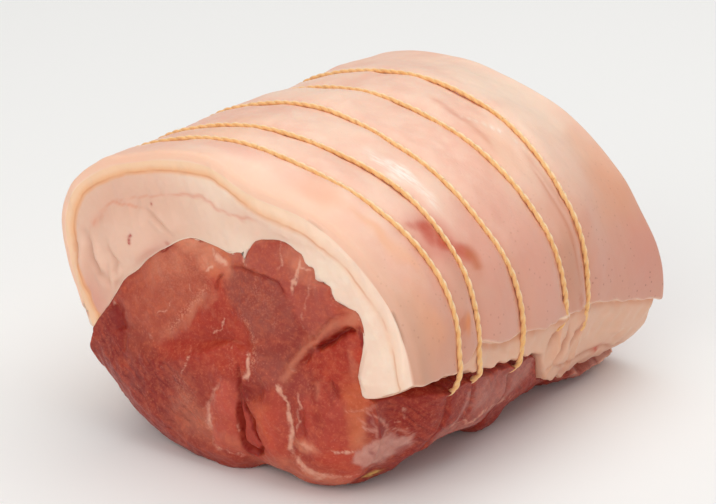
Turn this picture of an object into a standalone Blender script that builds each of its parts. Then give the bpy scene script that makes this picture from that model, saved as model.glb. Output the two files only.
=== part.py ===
# Rolled pork loin joint: a cap of rind and fat bent over the lean, tied with five loops of twine.
#
# X runs across the joint, Y along it (the shown cut face is at -Y) and Z up. The joint stands on
# z = 0. Sizes are in millimetres here and become metres where the meshes are made. Every section
# is drawn in polar form round one line: angle 0 is the right side, 90 the top, 180 the left.

import math

import bmesh
import bpy
import numpy as np

MM = 0.001

# ---- driving sizes, millimetres and degrees ----
CENTRE_Z = 51.5          # height of the line that the sections are drawn round
MIDDLE_X = -1.9          # middle of the joint's box, which becomes the origin
MIDDLE_Y = 1.6
GAP = 0.35               # room left between two pieces that touch
TWINE_RADIUS = 1.0

# Planes across the joint, front to back: place at x = 0, slope with x, slope with height
FRONT_FACE = (-79.8, 0.05, 0.10)
TWINE_PLANES = [(-53.8, 0.05, 0.0), (-35.8, 0.01, 0.0), (-9.7, -0.03, 0.0), (19.3, -0.07, 0.0),
                (42.6, -0.10, 0.0)]
BACK_FACE = (86.5, -0.06, -0.03)
PLANES = [FRONT_FACE] + TWINE_PLANES + [BACK_FACE]

# Skin outline (angle, radius)
SKIN = [(-45, 76), (-30, 77), (-15, 76.5), (0, 74.6), (10, 73.6), (20, 72), (30, 69), (40, 66.2),
        (55, 62.7), (75, 60), (90, 60.9), (105, 64.4), (120, 69.6), (133, 76), (144, 83), (153, 87.3),
        (161, 86.2), (170, 80.2), (180, 73.2), (190, 69), (205, 66)]
FRONT_DROP = [(-45, 0), (0, 0.5), (12, 2.5), (28, 4.6), (60, 4.5), (95, 5), (106, 1), (120, 0), (205, 0)]
BACK_DROP = [(-45, -1), (-15, -4), (0, -1), (10, 4.4), (25, 7.8), (40, 9), (60, 8.4), (90, 7), (112, 4),
             (130, 2), (160, 3), (205, 3)]
LEFT_TAPER = [(-45, 0), (95, 0), (115, 1.4), (205, 1.4)]       # lost from the third loop to the fourth

# Line between fat and lean (angle, radius)
LEAN_TOP = [(-45, 64), (-30, 62), (-18, 57), (-8, 52), (0, 51.5), (11, 52.5), (19, 50.5), (26, 47.5),
            (36, 44), (46, 41.7), (58, 42.3), (68, 41.3), (78, 38), (86, 31.5), (97, 31), (112, 34.5),
            (124, 38.5), (135, 42), (147, 44), (158, 48), (169, 53), (178, 57), (186, 62), (205, 66)]

# Underside of the lean (angle, radius) at the front cut, along the joint and at the back cut
UNDERSIDE_FRONT = [(175, 65), (188, 69), (200, 70), (212, 67.5), (226, 63.3), (240, 59), (256, 55.5),
                   (270, 53), (279, 49), (288, 51), (300, 58.5), (312, 63.5), (324, 64), (338, 61), (350, 57),
                   (362, 56)]
UNDERSIDE_MIDDLE = [(175, 66), (186, 69), (198, 69.5), (212, 66), (226, 61), (238, 58.5), (252, 54),
                    (270, 52), (285, 53), (300, 59.5), (311, 66.5), (322, 70.5), (334, 72.5), (346, 72),
                    (356, 71), (362, 71)]
UNDERSIDE_BACK = [(175, 64), (188, 66), (200, 66), (212, 63), (226, 59), (240, 56), (255, 53), (270, 51.5),
                  (285, 53), (300, 60), (312, 70.5), (322, 76), (334, 77.5), (346, 77.5), (362, 76)]
# Muscle ends that swell (+) or fall back (-) low on the right: height, angle, half width, row, half length
LUMPS = [(5.0, 317, 9, 3.2, 0.42), (-5.0, 314, 11, 1.95, 0.55), (1.5, 332, 8, 2.5, 0.4)]

# Where the skin and the fat end low on each side: (plane number counted from the front, angle)
SKIN_END_RIGHT = [(0, 1.0), (1, 0.5), (1.5, 0.5), (2, 1.8), (2.5, -1.5), (3, -2.2), (3.5, -4.2), (4, -4.2),
                  (4.5, -5), (5, -5), (5.4, -9), (6, -15.5)]
FAT_END_RIGHT = [(0, -2.0), (1, -4.0), (1.5, -5.5), (2, -9), (3, -12.5), (3.4, -16), (3.8, -24), (4.3, -28),
                 (5, -29), (6, -25)]
SKIN_END_LEFT = [(0, 184), (2, 187), (4, 186), (6, 188)]
FAT_END_LEFT = [(0, 190), (2, 195), (4, 193), (6, 196)]
LOBE = [(0, 8.0), (1, 5.0), (2, 2.0), (6, 1.0)]      # degrees by which the fat's inner end hangs lower
SKIN_THICKNESS = 3.6     # the fat steps back by this under the skin's cut edge
LEFT_LEDGE = 0.25        # share of that step on the left side

TWINE_SINK_SKIN = 1.2    # how deep the twine presses in, over the skin
TWINE_SINK_LEAN = 4.6    # and over the lean underneath
GROOVE_FLOOR = 1.45      # half width of the groove's bottom
GROOVE_HALF = 4.6        # half width of the groove at the surface
BAY_SWELL = 0.9          # the meat swells between the loops by this

FACE_EDGE = 2.6          # rounding of the skin at a cut face
ROUNDED_END = 2.4        # the fat's low ends are drawn in by this
SHARE_OF_FAT = (0.3, 0.65)        # rings of points on the fat's cut face, from the skin inward
SHARE_OF_LEAN = (0.955, 0.88, 0.76, 0.62, 0.46, 0.28, 0.12)     # and on the lean's, from its edge
LEAN_SWELL_FRONT = 7.0   # the lean domes out of the cut face by this
LEAN_SWELL_BACK = 4.0
SWELL_UNDER_FAT = 0.35   # share of that dome where the lean is held by the fat
LEAN_ROLL_FRONT = 7.5    # how far the lean's lower edge rolls back from the cut face
LEAN_ROLL_BACK = 5.2
ROLL_LENGTH = 21.0       # the roll is lost this far along, before the first groove
ROLL_START = 0.78        # share of the section's radius where the roll begins on the face

# Creases in the front face of the lean: depth, half width, points (x, z) on the section
CREASES = [
    (7.0, 3.2, [(1, 28), (3, 18), (9, 9)]),
    (3.0, 2.6, [(49, 63), (36, 57), (28, 52)]),
    (1.6, 3.0, [(-5, 79), (10, 73), (26, 64), (30, 52)]),
    (2.5, 2.2, [(-59, 46), (-56, 38)]),
]

RIND_COLUMNS = 26        # columns of faces over the skin
LEDGE_COLUMNS = 3        # and over the fat that shows under each end of it
UNDER_COLUMNS = 23       # columns of faces round the underside of the lean
COLUMN_STEP = 0.7        # degrees over which the skin's cut edge falls to the fat
SHELF_STEP = 0.9         # degrees between the fat's end and the lean below it
KNOT_ANGLE = 207.0       # the knots sit low on the left
KNOT_RADIUS = 2.3
TAIL_RADIUS = 0.9
TAIL_LENGTH = 9.0
TAIL_LEAN = (0.75, 0.55, -0.35)   # a cut end's way out, along the joint and down


def smooth(points, at):
    """Read a smooth curve through (place, value) points."""
    place, value = np.array(points, float).T
    slope = np.gradient(value, place)
    at = np.clip(at, place[0], place[-1])
    i = np.clip(np.searchsorted(place, at) - 1, 0, len(place) - 2)
    width = place[i + 1] - place[i]
    t = (at - place[i]) / width
    start = value[i] * (1 + 2 * t) + slope[i] * width * t
    end = value[i + 1] * (3 - 2 * t) - slope[i + 1] * width * (1 - t)
    return start * (1 - t) ** 2 + end * t ** 2


def plane_y(row, x, z):
    """Y of the surface that lies `row` planes back from the front face, over the point (x, z)."""
    number = np.arange(len(PLANES))
    place, slope_x, slope_z = (np.interp(row, number, values) for values in zip(*PLANES))
    return place + slope_x * x + slope_z * (z - CENTRE_Z)


def millimetres_from(row, plane):
    """Distance along Y between a row and one of the planes."""
    number = np.arange(len(PLANES))
    place = [p[0] for p in PLANES]
    return np.interp(row, number, place) - place[plane]


def groove(row, depth):
    """How deep the loops of twine press the surface in at this row."""
    sink = 0.0
    for number in range(1, len(TWINE_PLANES) + 1):
        away = abs(millimetres_from(row, number))
        wall = np.clip((GROOVE_HALF - away) / (GROOVE_HALF - GROOVE_FLOOR), 0, 1)
        sink = max(sink, wall)
    return depth * sink


def front_share(row, reach):
    """1 at the front face, falling to 0 about `reach` millimetres behind it."""
    return math.exp(-(millimetres_from(row, 0) / reach) ** 2)


def back_share(row):
    """0 at the last loop, rising to 1 at the back face."""
    t = np.clip(row - len(TWINE_PLANES), 0, 1)
    return t * t * (3 - 2 * t)


def skin_radius(angle, row):
    """Outer radius of the joint over the skin."""
    swell = BAY_SWELL * (1 - groove(row, 1.0))
    radius = smooth(SKIN, angle) + swell - smooth(FRONT_DROP, angle) * front_share(row, 18.0)
    radius = radius - smooth(LEFT_TAPER, angle) * np.clip(row - 3, 0, 1)
    return radius - smooth(BACK_DROP, angle) * back_share(row) - groove(row, TWINE_SINK_SKIN)


def underside_radius(angle, row):
    """Outer radius of the lean below the two ends of the fat."""
    middle = smooth(UNDERSIDE_MIDDLE, angle)
    radius = middle + (smooth(UNDERSIDE_FRONT, angle) - middle) * front_share(row, 17.0)
    radius = radius + (smooth(UNDERSIDE_BACK, angle) - middle) * back_share(5 + (row - 4.8) / 0.6)
    for height, at_angle, half_angle, at_row, half_row in LUMPS:
        away = ((angle - at_angle) / half_angle) ** 2 + ((row - at_row) / half_row) ** 2
        radius = radius + height * np.exp(-away)
    return radius - groove(row, TWINE_SINK_LEAN)


def row_places():
    """Rows of faces along the joint, in planes counted from the front."""
    number = np.arange(len(PLANES))
    place = np.array([p[0] for p in PLANES])
    start, end = place[0], place[-1]
    found = [start, start + FACE_EDGE, start + 11.0]
    for loop in place[1:-1]:
        found += [loop - GROOVE_HALF, loop - GROOVE_FLOOR, loop + GROOVE_FLOOR, loop + GROOVE_HALF]
    found += [(place[2] + place[3]) / 2, (place[3] + place[4]) / 2]
    found += [end - 30.0, end - 20.0, end - 11.0, end - 5.0, end - 1.6, end]
    return np.interp(np.sort(found), place, number)


def point(angle, radius, row, behind=0.0):
    """Place in the joint, `behind` millimetres back of the row."""
    turn = np.radians(angle)
    x = radius * np.cos(turn)
    z = CENTRE_Z + radius * np.sin(turn)
    return np.stack([x, plane_y(row, x, z) + behind, z], -1)


def fat_angles(row):
    """Angles of the fat's columns at a row, along its outside and along the lean."""
    low, skin_low = smooth(FAT_END_RIGHT, row), smooth(SKIN_END_RIGHT, row)
    skin_high, high = smooth(SKIN_END_LEFT, row), smooth(FAT_END_LEFT, row)
    outside = np.concatenate([
        np.linspace(low, skin_low - COLUMN_STEP, LEDGE_COLUMNS),
        np.linspace(skin_low, skin_high, RIND_COLUMNS + 1),
        np.linspace(skin_high + COLUMN_STEP, high, LEDGE_COLUMNS)])
    inside = np.linspace(low - smooth(LOBE, row), high, len(outside))
    return outside, inside


def fat_outline(row, shrink=0.0):
    """Outer and inner edge of the fat at a row; `shrink` draws the outside in."""
    outside, inside = fat_angles(row)
    outer = skin_radius(outside, row) - shrink
    ledge = np.zeros(len(outside))
    ledge[:LEDGE_COLUMNS] = 1.0
    ledge[-LEDGE_COLUMNS:] = LEFT_LEDGE
    outer = outer - SKIN_THICKNESS * ledge * (1 - 0.7 * groove(row, 1.0)) * (1 - 0.6 * back_share(row))
    outer[[0, -1]] -= ROUNDED_END
    return outside, outer, inside, smooth(LEAN_TOP, inside)


def face_rounding(row):
    """How far the skin is drawn in near the two cut faces."""
    near = min(millimetres_from(row, 0), -millimetres_from(row, len(PLANES) - 1))
    if near >= FACE_EDGE:
        return 0.0
    return FACE_EDGE - math.sqrt(FACE_EDGE ** 2 - (FACE_EDGE - near) ** 2)


def metres(place):
    """A place in the joint as the meshes hold it."""
    return (place - np.array([MIDDLE_X, MIDDLE_Y, 0.0])) * MM


def loft(rings):
    """Bridge a list of rings of points; returns the open mesh and its rings of vertices."""
    builder = bmesh.new()
    lines = [[builder.verts.new(metres(p)) for p in ring] for ring in rings]
    for one, two in zip(lines, lines[1:]):
        for i in range(len(one)):
            j = (i + 1) % len(one)
            builder.faces.new((one[i], one[j], two[j], two[i]))
    return builder, lines


def finish(builder, name, material, collection):
    """Turn the faces outward, make the object and give it its material."""
    bmesh.ops.triangulate(builder, faces=builder.faces[:])
    bmesh.ops.recalc_face_normals(builder, faces=builder.faces[:])
    mesh = bpy.data.meshes.new(name)
    builder.to_mesh(mesh)
    builder.free()
    part = bpy.data.objects.new(name, mesh)
    part.data.materials.append(material)
    collection.objects.link(part)
    mesh.shade_smooth()
    mesh.set_sharp_from_angle(angle=math.radians(50))
    return part


def make_fat(material, collection):
    """Rind and fat as one bent slab: rings run over the outside and back along the lean."""
    rows = row_places()
    rings = []
    for row in rows:
        outside, outer, inside, inner = fat_outline(row, face_rounding(row))
        over = point(outside, outer, row)
        under = point(inside, inner + GAP, row)
        rings.append(np.concatenate([over, under[::-1]]))
    builder, lines = loft(rings)
    columns = len(rings[0]) // 2
    for line, row in ((lines[0], rows[0]), (lines[-1], rows[-1])):
        outside, outer, inside, inner = fat_outline(row, FACE_EDGE)
        strips = [line[:columns]]
        for share in SHARE_OF_FAT:
            angle = outside + (inside - outside) * share
            radius = outer + (inner + GAP - outer) * share
            strips.append([builder.verts.new(metres(p)) for p in point(angle, radius, row)])
        strips.append(line[columns:][::-1])
        for one, two in zip(strips, strips[1:]):
            for i in range(columns - 1):
                builder.faces.new((one[i], one[i + 1], two[i + 1], two[i]))
        for end in (0, columns - 1):
            edge = [strip[end] for strip in strips]
            builder.faces.new(edge)
    return finish(builder, "fat_cap", material, collection)


def lean_ring(row):
    """Angles and radii round the lean at a row: under the fat first, then round the underside."""
    _, under_fat = fat_angles(row)
    below = np.linspace(under_fat[-1] + SHELF_STEP, under_fat[0] + 360 - SHELF_STEP, UNDER_COLUMNS)
    radius = np.concatenate([smooth(LEAN_TOP, under_fat), underside_radius(below, row)])
    return np.concatenate([under_fat, below]), radius


def free_edge(angle):
    """0 where the lean meets the fat, 1 round its free underside."""
    free = np.clip((angle - 192) / 18, 0, 1) * np.clip((352 - angle) / 22, 0, 1)
    return free * free * (3 - 2 * free)


def roll_along(row):
    """How far back of its row the free underside lies, near the two cut faces."""
    front = max(0.0, 1 - millimetres_from(row, 0) / ROLL_LENGTH) ** 2
    back = max(0.0, 1 + millimetres_from(row, len(PLANES) - 1) / ROLL_LENGTH) ** 2
    return LEAN_ROLL_FRONT * front - LEAN_ROLL_BACK * back


def on_floor(ring):
    """Flatten whatever would reach below the floor."""
    ring[:, 2] = np.maximum(ring[:, 2], 0)
    return ring


def crease_depth(x, z):
    """Depth of the creases between the muscles at a point of the front face."""
    depth = np.zeros(np.shape(x))
    for deep, half, line in CREASES:
        nearest = np.full(np.shape(x), np.inf)
        for (x0, z0), (x1, z1) in zip(line, line[1:]):
            along = ((x - x0) * (x1 - x0) + (z - z0) * (z1 - z0)) / ((x1 - x0) ** 2 + (z1 - z0) ** 2)
            along = np.clip(along, 0, 1)
            away = np.hypot(x - x0 - along * (x1 - x0), z - z0 - along * (z1 - z0))
            nearest = np.minimum(nearest, away)
        depth = np.maximum(depth, deep * np.exp(-(nearest / half) ** 2))
    return depth


def dome_lean(builder, line, row, swell, rolled, creased):
    """Close one end of the lean with a dome; `swell` and `rolled` are positive towards the back."""
    angle, radius = lean_ring(row)
    edge = free_edge(angle)
    for share in SHARE_OF_LEAN:
        falling = rolled * edge * np.clip((share - ROLL_START) / (1 - ROLL_START), 0, 1) ** 2
        dome = swell * (1 - share ** 2) * (SWELL_UNDER_FAT + (1 - SWELL_UNDER_FAT) * edge)
        ring = point(angle, radius * share, row, falling + dome)
        if creased:
            ring[:, 1] += crease_depth(ring[:, 0], ring[:, 2])
        inner = [builder.verts.new(metres(p)) for p in on_floor(ring)]
        for i in range(len(inner)):
            j = (i + 1) % len(inner)
            builder.faces.new((line[i], line[j], inner[j], inner[i]))
        line = inner
    tip = builder.verts.new(metres(point(np.zeros(1), np.zeros(1), row, swell * share)[0]))
    for i in range(len(line)):
        builder.faces.new((line[i], line[(i + 1) % len(line)], tip))


def make_lean(material, collection):
    """The lean: one tapered, pinched cylinder with domed ends."""
    rows = row_places()
    rings = []
    for row in rows:
        angle, radius = lean_ring(row)
        rings.append(on_floor(point(angle, radius, row, free_edge(angle) * roll_along(row))))
    builder, lines = loft(rings)
    dome_lean(builder, lines[0], rows[0], -LEAN_SWELL_FRONT, LEAN_ROLL_FRONT, True)
    dome_lean(builder, lines[-1], rows[-1], LEAN_SWELL_BACK, -LEAN_ROLL_BACK, False)
    return finish(builder, "lean", material, collection)


def hull(points):
    """Convex outline round points of a plane, anticlockwise."""
    ordered = sorted(map(tuple, points))
    halves = []
    for run in (ordered, ordered[::-1]):
        half = []
        for p in run:
            while len(half) > 1 and ((half[-1][0] - half[-2][0]) * (p[1] - half[-2][1])
                                     - (half[-1][1] - half[-2][1]) * (p[0] - half[-2][0])) <= 0:
                half.pop()
            half.append(p)
        halves += half[:-1]
    return np.array(halves)


def twine_route(number):
    """The loop's middle line: taut round the grooved section, clear of it and of the floor."""
    row = float(number)
    outside, outer, _, _ = fat_outline(row)
    round_lean, lean_radius = lean_ring(row)
    angle = np.concatenate([outside, round_lean[len(outside):]])
    radius = np.concatenate([outer, lean_radius[len(outside):]])
    taut = hull(on_floor(point(angle, radius, row))[:, [0, 2]])
    before, after = np.roll(taut, 1, 0), np.roll(taut, -1, 0)
    normals = []
    for a, b in ((before, taut), (taut, after)):
        along = (b - a) / np.linalg.norm(b - a, axis=1)[:, None]
        normals.append(np.stack([along[:, 1], -along[:, 0]], 1))
    both = normals[0] + normals[1]
    both = both / np.linalg.norm(both, axis=1)[:, None]
    reach = (TWINE_RADIUS + GAP) / np.sum(both * normals[0], axis=1)
    line = taut + both * reach[:, None]
    line[:, 1] = np.maximum(line[:, 1], TWINE_RADIUS + GAP)
    return np.stack([line[:, 0], plane_y(row, line[:, 0], line[:, 1]), line[:, 1]], 1)


def make_tube(name, route, radius, closed, collection):
    """A round tube along a route, as a mesh with welded caps."""
    curve = bpy.data.curves.new(name, "CURVE")
    curve.dimensions = "3D"
    curve.bevel_depth = radius * MM
    curve.bevel_resolution = 1
    curve.use_fill_caps = not closed
    line = curve.splines.new("POLY")
    line.points.add(len(route) - 1)
    for target, place in zip(line.points, route):
        target.co = (*metres(place), 1)
    line.use_cyclic_u = closed
    guide = bpy.data.objects.new(name + "_line", curve)
    collection.objects.link(guide)
    bpy.context.view_layer.update()
    graph = bpy.context.evaluated_depsgraph_get()
    mesh = bpy.data.meshes.new_from_object(guide.evaluated_get(graph))
    mesh.name = name
    weld = bmesh.new()
    weld.from_mesh(mesh)
    bmesh.ops.remove_doubles(weld, verts=weld.verts[:], dist=0.00001)
    bmesh.ops.recalc_face_normals(weld, faces=weld.faces[:])
    weld.to_mesh(mesh)
    weld.free()
    tube = bpy.data.objects.new(name, mesh)
    tube.matrix_world = guide.matrix_world
    collection.objects.link(tube)
    bpy.data.objects.remove(guide)
    return tube


def make_knot(name, place, collection):
    """The knot: a slightly flattened ball."""
    bpy.ops.mesh.primitive_uv_sphere_add(segments=8, ring_count=6, radius=KNOT_RADIUS * MM,
                                         location=metres(place))
    knot = bpy.context.active_object
    knot.name = name
    for holder in knot.users_collection:
        holder.objects.unlink(knot)
    collection.objects.link(knot)
    return knot


def make_twine(number, material, collection):
    """One loop of twine with its knot and two cut ends, united into one body."""
    name = f"twine_{number}"
    route = twine_route(number)
    angle = np.degrees(np.arctan2(route[:, 2] - CENTRE_Z, route[:, 0])) % 360
    place = route[np.argmin(abs(angle - KNOT_ANGLE))]
    outward = np.array([math.cos(math.radians(KNOT_ANGLE)), 0.0, math.sin(math.radians(KNOT_ANGLE))])
    knot_place = place + outward * (KNOT_RADIUS - TWINE_RADIUS)
    out, along, up = TAIL_LEAN
    tips = [knot_place + (outward * out + np.array([0.0, side * along, up])) * TAIL_LENGTH
            for side in (-1, 1)]
    loop = make_tube(name, route, TWINE_RADIUS, True, collection)
    tails = make_tube(name + "_tails", [tips[0], knot_place, tips[1]], TAIL_RADIUS, False, collection)
    knot = make_knot(name + "_knot", knot_place, collection)
    for extra in (knot, tails):
        union = loop.modifiers.new("union", "BOOLEAN")
        union.operation = "UNION"
        union.solver = "EXACT"
        union.object = extra
    bpy.context.view_layer.update()
    graph = bpy.context.evaluated_depsgraph_get()
    united = bpy.data.meshes.new_from_object(loop.evaluated_get(graph))
    united.name = name
    loop.modifiers.clear()
    loop.data = united
    for extra in (knot, tails):
        bpy.data.objects.remove(extra)
    loop.data.materials.clear()
    loop.data.materials.append(material)
    loop.data.shade_smooth()
    return loop


def make_material(name, colour, roughness):
    """Principled material with a plain colour."""
    material = bpy.data.materials.new(name)
    material.use_nodes = True
    shader = material.node_tree.nodes["Principled BSDF"]
    shader.inputs["Base Color"].default_value = (*colour, 1.0)
    shader.inputs["Roughness"].default_value = roughness
    shader.inputs["Metallic"].default_value = 0.0
    return material


def main():
    """Build the joint."""
    for old in list(bpy.data.objects):
        bpy.data.objects.remove(old, do_unlink=True)
    collection = bpy.data.collections.new("pork_loin_joint")
    bpy.context.scene.collection.children.link(collection)
    make_fat(make_material("fat and rind", (0.79, 0.52, 0.40), 0.42), collection)
    make_lean(make_material("lean", (0.42, 0.09, 0.07), 0.38), collection)
    for number in range(1, len(TWINE_PLANES) + 1):
        make_twine(number, make_material(f"twine {number}", (0.80, 0.58, 0.30), 0.8), collection)


main()
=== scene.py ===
import math

import bpy
import numpy as np
from mathutils import Matrix


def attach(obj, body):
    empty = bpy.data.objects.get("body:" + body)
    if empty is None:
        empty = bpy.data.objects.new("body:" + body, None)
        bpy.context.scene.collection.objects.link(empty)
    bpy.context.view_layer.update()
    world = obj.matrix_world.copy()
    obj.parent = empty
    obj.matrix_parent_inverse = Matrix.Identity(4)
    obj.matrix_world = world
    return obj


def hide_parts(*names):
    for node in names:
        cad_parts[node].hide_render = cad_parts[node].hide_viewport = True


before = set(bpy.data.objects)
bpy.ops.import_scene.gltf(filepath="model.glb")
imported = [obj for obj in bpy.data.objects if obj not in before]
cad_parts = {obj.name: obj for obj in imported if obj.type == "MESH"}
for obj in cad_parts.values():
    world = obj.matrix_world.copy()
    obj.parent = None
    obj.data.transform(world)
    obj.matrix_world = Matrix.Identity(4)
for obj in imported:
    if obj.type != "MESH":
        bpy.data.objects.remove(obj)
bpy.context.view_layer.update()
mm = 0.001
print("frame loaded:", ", ".join(sorted(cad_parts)))


# The roll's sections, in millimetres and degrees, as the solids have them. An outline is a list of
# (angle, radius) round the line x = 0, z = centreZ: 0 is the right side, 90 the top, 180 the left.
# Rows are counted in planes from the front cut, each (place at x = 0, slope with x, slope with height).
roll = {
    "centreZ": 51.5,
    "middle": (-1.9, 1.6),                                   # of the footprint, before it is centred
    "frontReach": {"skin": 18, "under": 17, "leanTop": 9},   # how far in the front cut's shape shows
    "backRows": (5, 6), "underBackRows": (4.8, 5.4), "taperRow": 3,
    "markRound": 70, "edgeRound": 75,    # radius where degrees are counted as millimetres
    "planes": [(-79.8, 0.05, 0.10), (-53.8, 0.05, 0.0), (-35.8, 0.01, 0.0), (-9.7, -0.03, 0.0),
               (19.3, -0.07, 0.0), (42.6, -0.10, 0.0), (86.5, -0.06, -0.03)],
    "skin": [(-45, 76), (-30, 77), (-15, 76.5), (0, 74.6), (10, 73.6), (20, 72), (30, 69), (40, 66.2),
             (55, 62.7), (75, 60), (90, 60.9), (105, 64.4), (120, 69.6), (133, 76), (144, 83),
             (153, 87.3), (161, 86.2), (170, 80.2), (180, 73.2), (190, 69), (205, 66)],
    "frontDrop": [(-45, 0), (0, 0.5), (12, 2.5), (28, 4.6), (60, 4.5), (95, 5), (106, 1), (120, 0),
                  (205, 0)],
    "backDrop": [(-45, -1), (-15, -4), (0, -1), (10, 4.4), (25, 7.8), (40, 9), (60, 8.4), (90, 7),
                 (112, 4), (130, 2), (160, 3), (205, 3)],
    "leftTaper": [(-45, 0), (95, 0), (115, 1.4), (205, 1.4)],
    "leanTop": [(-45, 64), (-30, 62), (-18, 57), (-8, 52), (0, 51.5), (11, 52.5), (19, 50.5), (26, 47.5),
                (36, 44), (46, 41.7), (58, 42.3), (68, 41.3), (78, 38), (86, 31.5), (97, 31), (112, 34.5),
                (124, 38.5), (135, 42), (147, 44), (158, 48), (169, 53), (178, 57), (186, 62), (205, 66)],
    # the same line at the cut, with the lobes of the cap muscle
    "leanTopCut": [(-45, 64), (-30, 62), (-18, 57), (-9, 52.5), (-3, 50), (4, 50.8), (11, 52.4), (19, 52.8),
                   (23, 51.8), (25.5, 48.4), (31.5, 44.2), (36, 45.2), (39.5, 43.4), (42, 41), (45, 42),
                   (48, 43.2), (51, 41.4), (56, 43), (60, 42.4), (65, 42.4), (70, 41.4), (77, 39),
                   (81, 37.8), (85, 35.4), (88, 31.2), (90, 28.6), (92, 30.4), (97.5, 30.8),
                   (102, 30.2), (108, 32.1), (117, 35.4), (126, 39.4), (133, 41), (141, 42.3),
                   (147, 44.1), (154.5, 46.5), (162, 48.6), (169, 53), (175, 55.4), (180, 58),
                   (184, 61), (190, 66.5), (205, 67)],
    "underFront": [(175, 65), (188, 69), (200, 70), (212, 67.5), (226, 63.3), (240, 59), (256, 55.5),
                   (270, 53), (279, 49), (288, 51), (300, 58.5), (312, 63.5), (324, 64), (338, 61),
                   (350, 57), (362, 56)],
    "underMiddle": [(175, 66), (186, 69), (198, 69.5), (212, 66), (226, 61), (238, 58.5), (252, 54),
                    (270, 52), (285, 53), (300, 59.5), (311, 66.5), (322, 70.5), (334, 72.5),
                    (346, 72), (356, 71), (362, 71)],
    "underBack": [(175, 64), (188, 66), (200, 66), (212, 63), (226, 59), (240, 56), (255, 53),
                  (270, 51.5), (285, 53), (300, 60), (312, 70.5), (322, 76), (334, 77.5), (346, 77.5),
                  (362, 76)],
    # muscle ends low on the right: height, angle, half width, row, half length
    "lumps": [(3.2, 317, 9, 3.25, 0.42), (-5.5, 314, 11, 2.1, 0.62), (1.5, 332, 8, 2.5, 0.4),
              (-1.7, 325, 9, 1.25, 0.5)],
    # ends of the skin and of the fat, as (row, angle)
    "skinEndRight": [(0, -0.9), (0.6, -2.2), (1, -3.1), (1.3, -1.6), (1.6, 0.2), (2, 1.8), (2.5, -1.5),
                     (3, -2.2), (3.5, -4.2), (4, -4.2), (4.5, -5), (5, -5), (5.4, -9), (6, -15.5)],
    "fatEndRight": [(0, -2.0), (1, -4.2), (1.5, -6), (2, -8), (2.5, -9.8), (3, -11.5), (3.35, -13),
                    (3.6, -15), (3.8, -21), (3.95, -26), (4.3, -30), (5, -33.5), (5.4, -35), (6, -35.5)],
    "skinEndLeft": [(0, 184), (2, 187), (4, 186), (6, 188)],
    "fatEndLeft": [(0, 190), (2, 195), (4, 193), (5.4, 192.5), (6, 190)],
    "lobe": [(0, 8.0), (1, 5.0), (2, 2.0), (6, 1.0)],
    # how far the sections sway along the joint, as the loops of twine do, as (angle, millimetres)
    "sway": [[(-45, 0), (175, 0)],
             [(-45, 0), (-12, 1), (0, -1.6), (10, -0.4), (30, 0.9), (50, -0.5), (70, -1.1), (90, -0.3),
              (110, -0.3), (130, 0.8), (175, 0)],
             [(-45, 0), (-12, -1), (0, -4.2), (10, -3.6), (30, -1.5), (50, -0.3), (70, -0.7), (90, -1.5),
              (110, -2.1), (130, -2.2), (175, 0)],
             [(-45, 0), (-12, 0.5), (0, 0.4), (10, -0.4), (30, -3.4), (50, -3.7), (70, -2.7), (90, -0.8),
              (110, 0.6), (130, 0.4), (175, 0)],
             [(-45, 0), (-12, 1.5), (0, 1.8), (10, 0.4), (30, -2.2), (50, -3.8), (70, -4.4), (90, -3.5),
              (110, -2.7), (130, -1.2), (175, 0)],
             [(-45, 0), (-12, -4.2), (0, -4.2), (10, -3.9), (30, -3.6), (50, -1.7), (70, 0), (90, 0.4),
              (110, -1.2), (130, -1.4), (175, 0)],
             [(-45, 0), (175, 0)]],
}
planes = np.array(roll["planes"])
planePlace = planes[:, 0] - planes[0, 0]
jointLength = planePlace[-1]
loopPlaces = planePlace[1:-1]
markDegree = math.radians(roll["markRound"])     # millimetres to a degree, for drawn marks
edgeDegree = math.radians(roll["edgeRound"])     # and at the skin's edges


def smooth(points, at):
    # a smooth curve through (place, value) points, level beyond its ends
    place, value = np.array(points, float).T
    slope = np.gradient(value, place)
    at = np.clip(at, place[0], place[-1])
    i = np.clip(np.searchsorted(place, at) - 1, 0, len(place) - 2)
    width = place[i + 1] - place[i]
    t = (at - place[i]) / width
    start = value[i] * (1 + 2 * t) + slope[i] * width * t
    end = value[i + 1] * (3 - 2 * t) - slope[i + 1] * width * (1 - t)
    return start * (1 - t) ** 2 + end * t ** 2


def ease(value, low, high):
    # 0 up to low and 1 from high on, with a soft rise between
    t = np.clip((value - low) / (high - low), 0, 1)
    return t * t * (3 - 2 * t)


def hill(distance, half):
    # 1 at no distance, falling off over a half width
    return np.exp(-(distance / half) ** 2)


def rowAt(along):
    # planes from the front cut, for millimetres along the joint
    return np.interp(along, planePlace, np.arange(len(planes)))


def planeY(row, x, z):
    # how far along the joint a section's bent plane stands, at a place of the section
    place, slopeX, slopeZ = (np.interp(row, np.arange(len(planes)), planes[:, k]) for k in range(3))
    angle = np.degrees(np.arctan2(z - roll["centreZ"], x))
    angle = np.where(angle < -90, angle + 360, angle)
    sway = sum(smooth(line, angle) * np.clip(1 - abs(row - number), 0, 1)
               for number, line in enumerate(roll["sway"]))
    return place + slopeX * x + slopeZ * (z - roll["centreZ"]) + sway


def frontShare(along, part):
    # how much of the front cut's own outline a section has
    return np.exp(-(along / roll["frontReach"][part]) ** 2)


def fromLoop(along):
    # millimetres to the nearest loop of twine
    return np.min([abs(along - place) for place in loopPlaces], axis=0)


def skinRadius(angle, along):
    row = rowAt(along)
    radius = smooth(roll["skin"], angle) - smooth(roll["frontDrop"], angle) * frontShare(along, "skin")
    radius = radius - smooth(roll["leftTaper"], angle) * np.clip(row - roll["taperRow"], 0, 1)
    return radius - smooth(roll["backDrop"], angle) * ease(row, *roll["backRows"])


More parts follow.
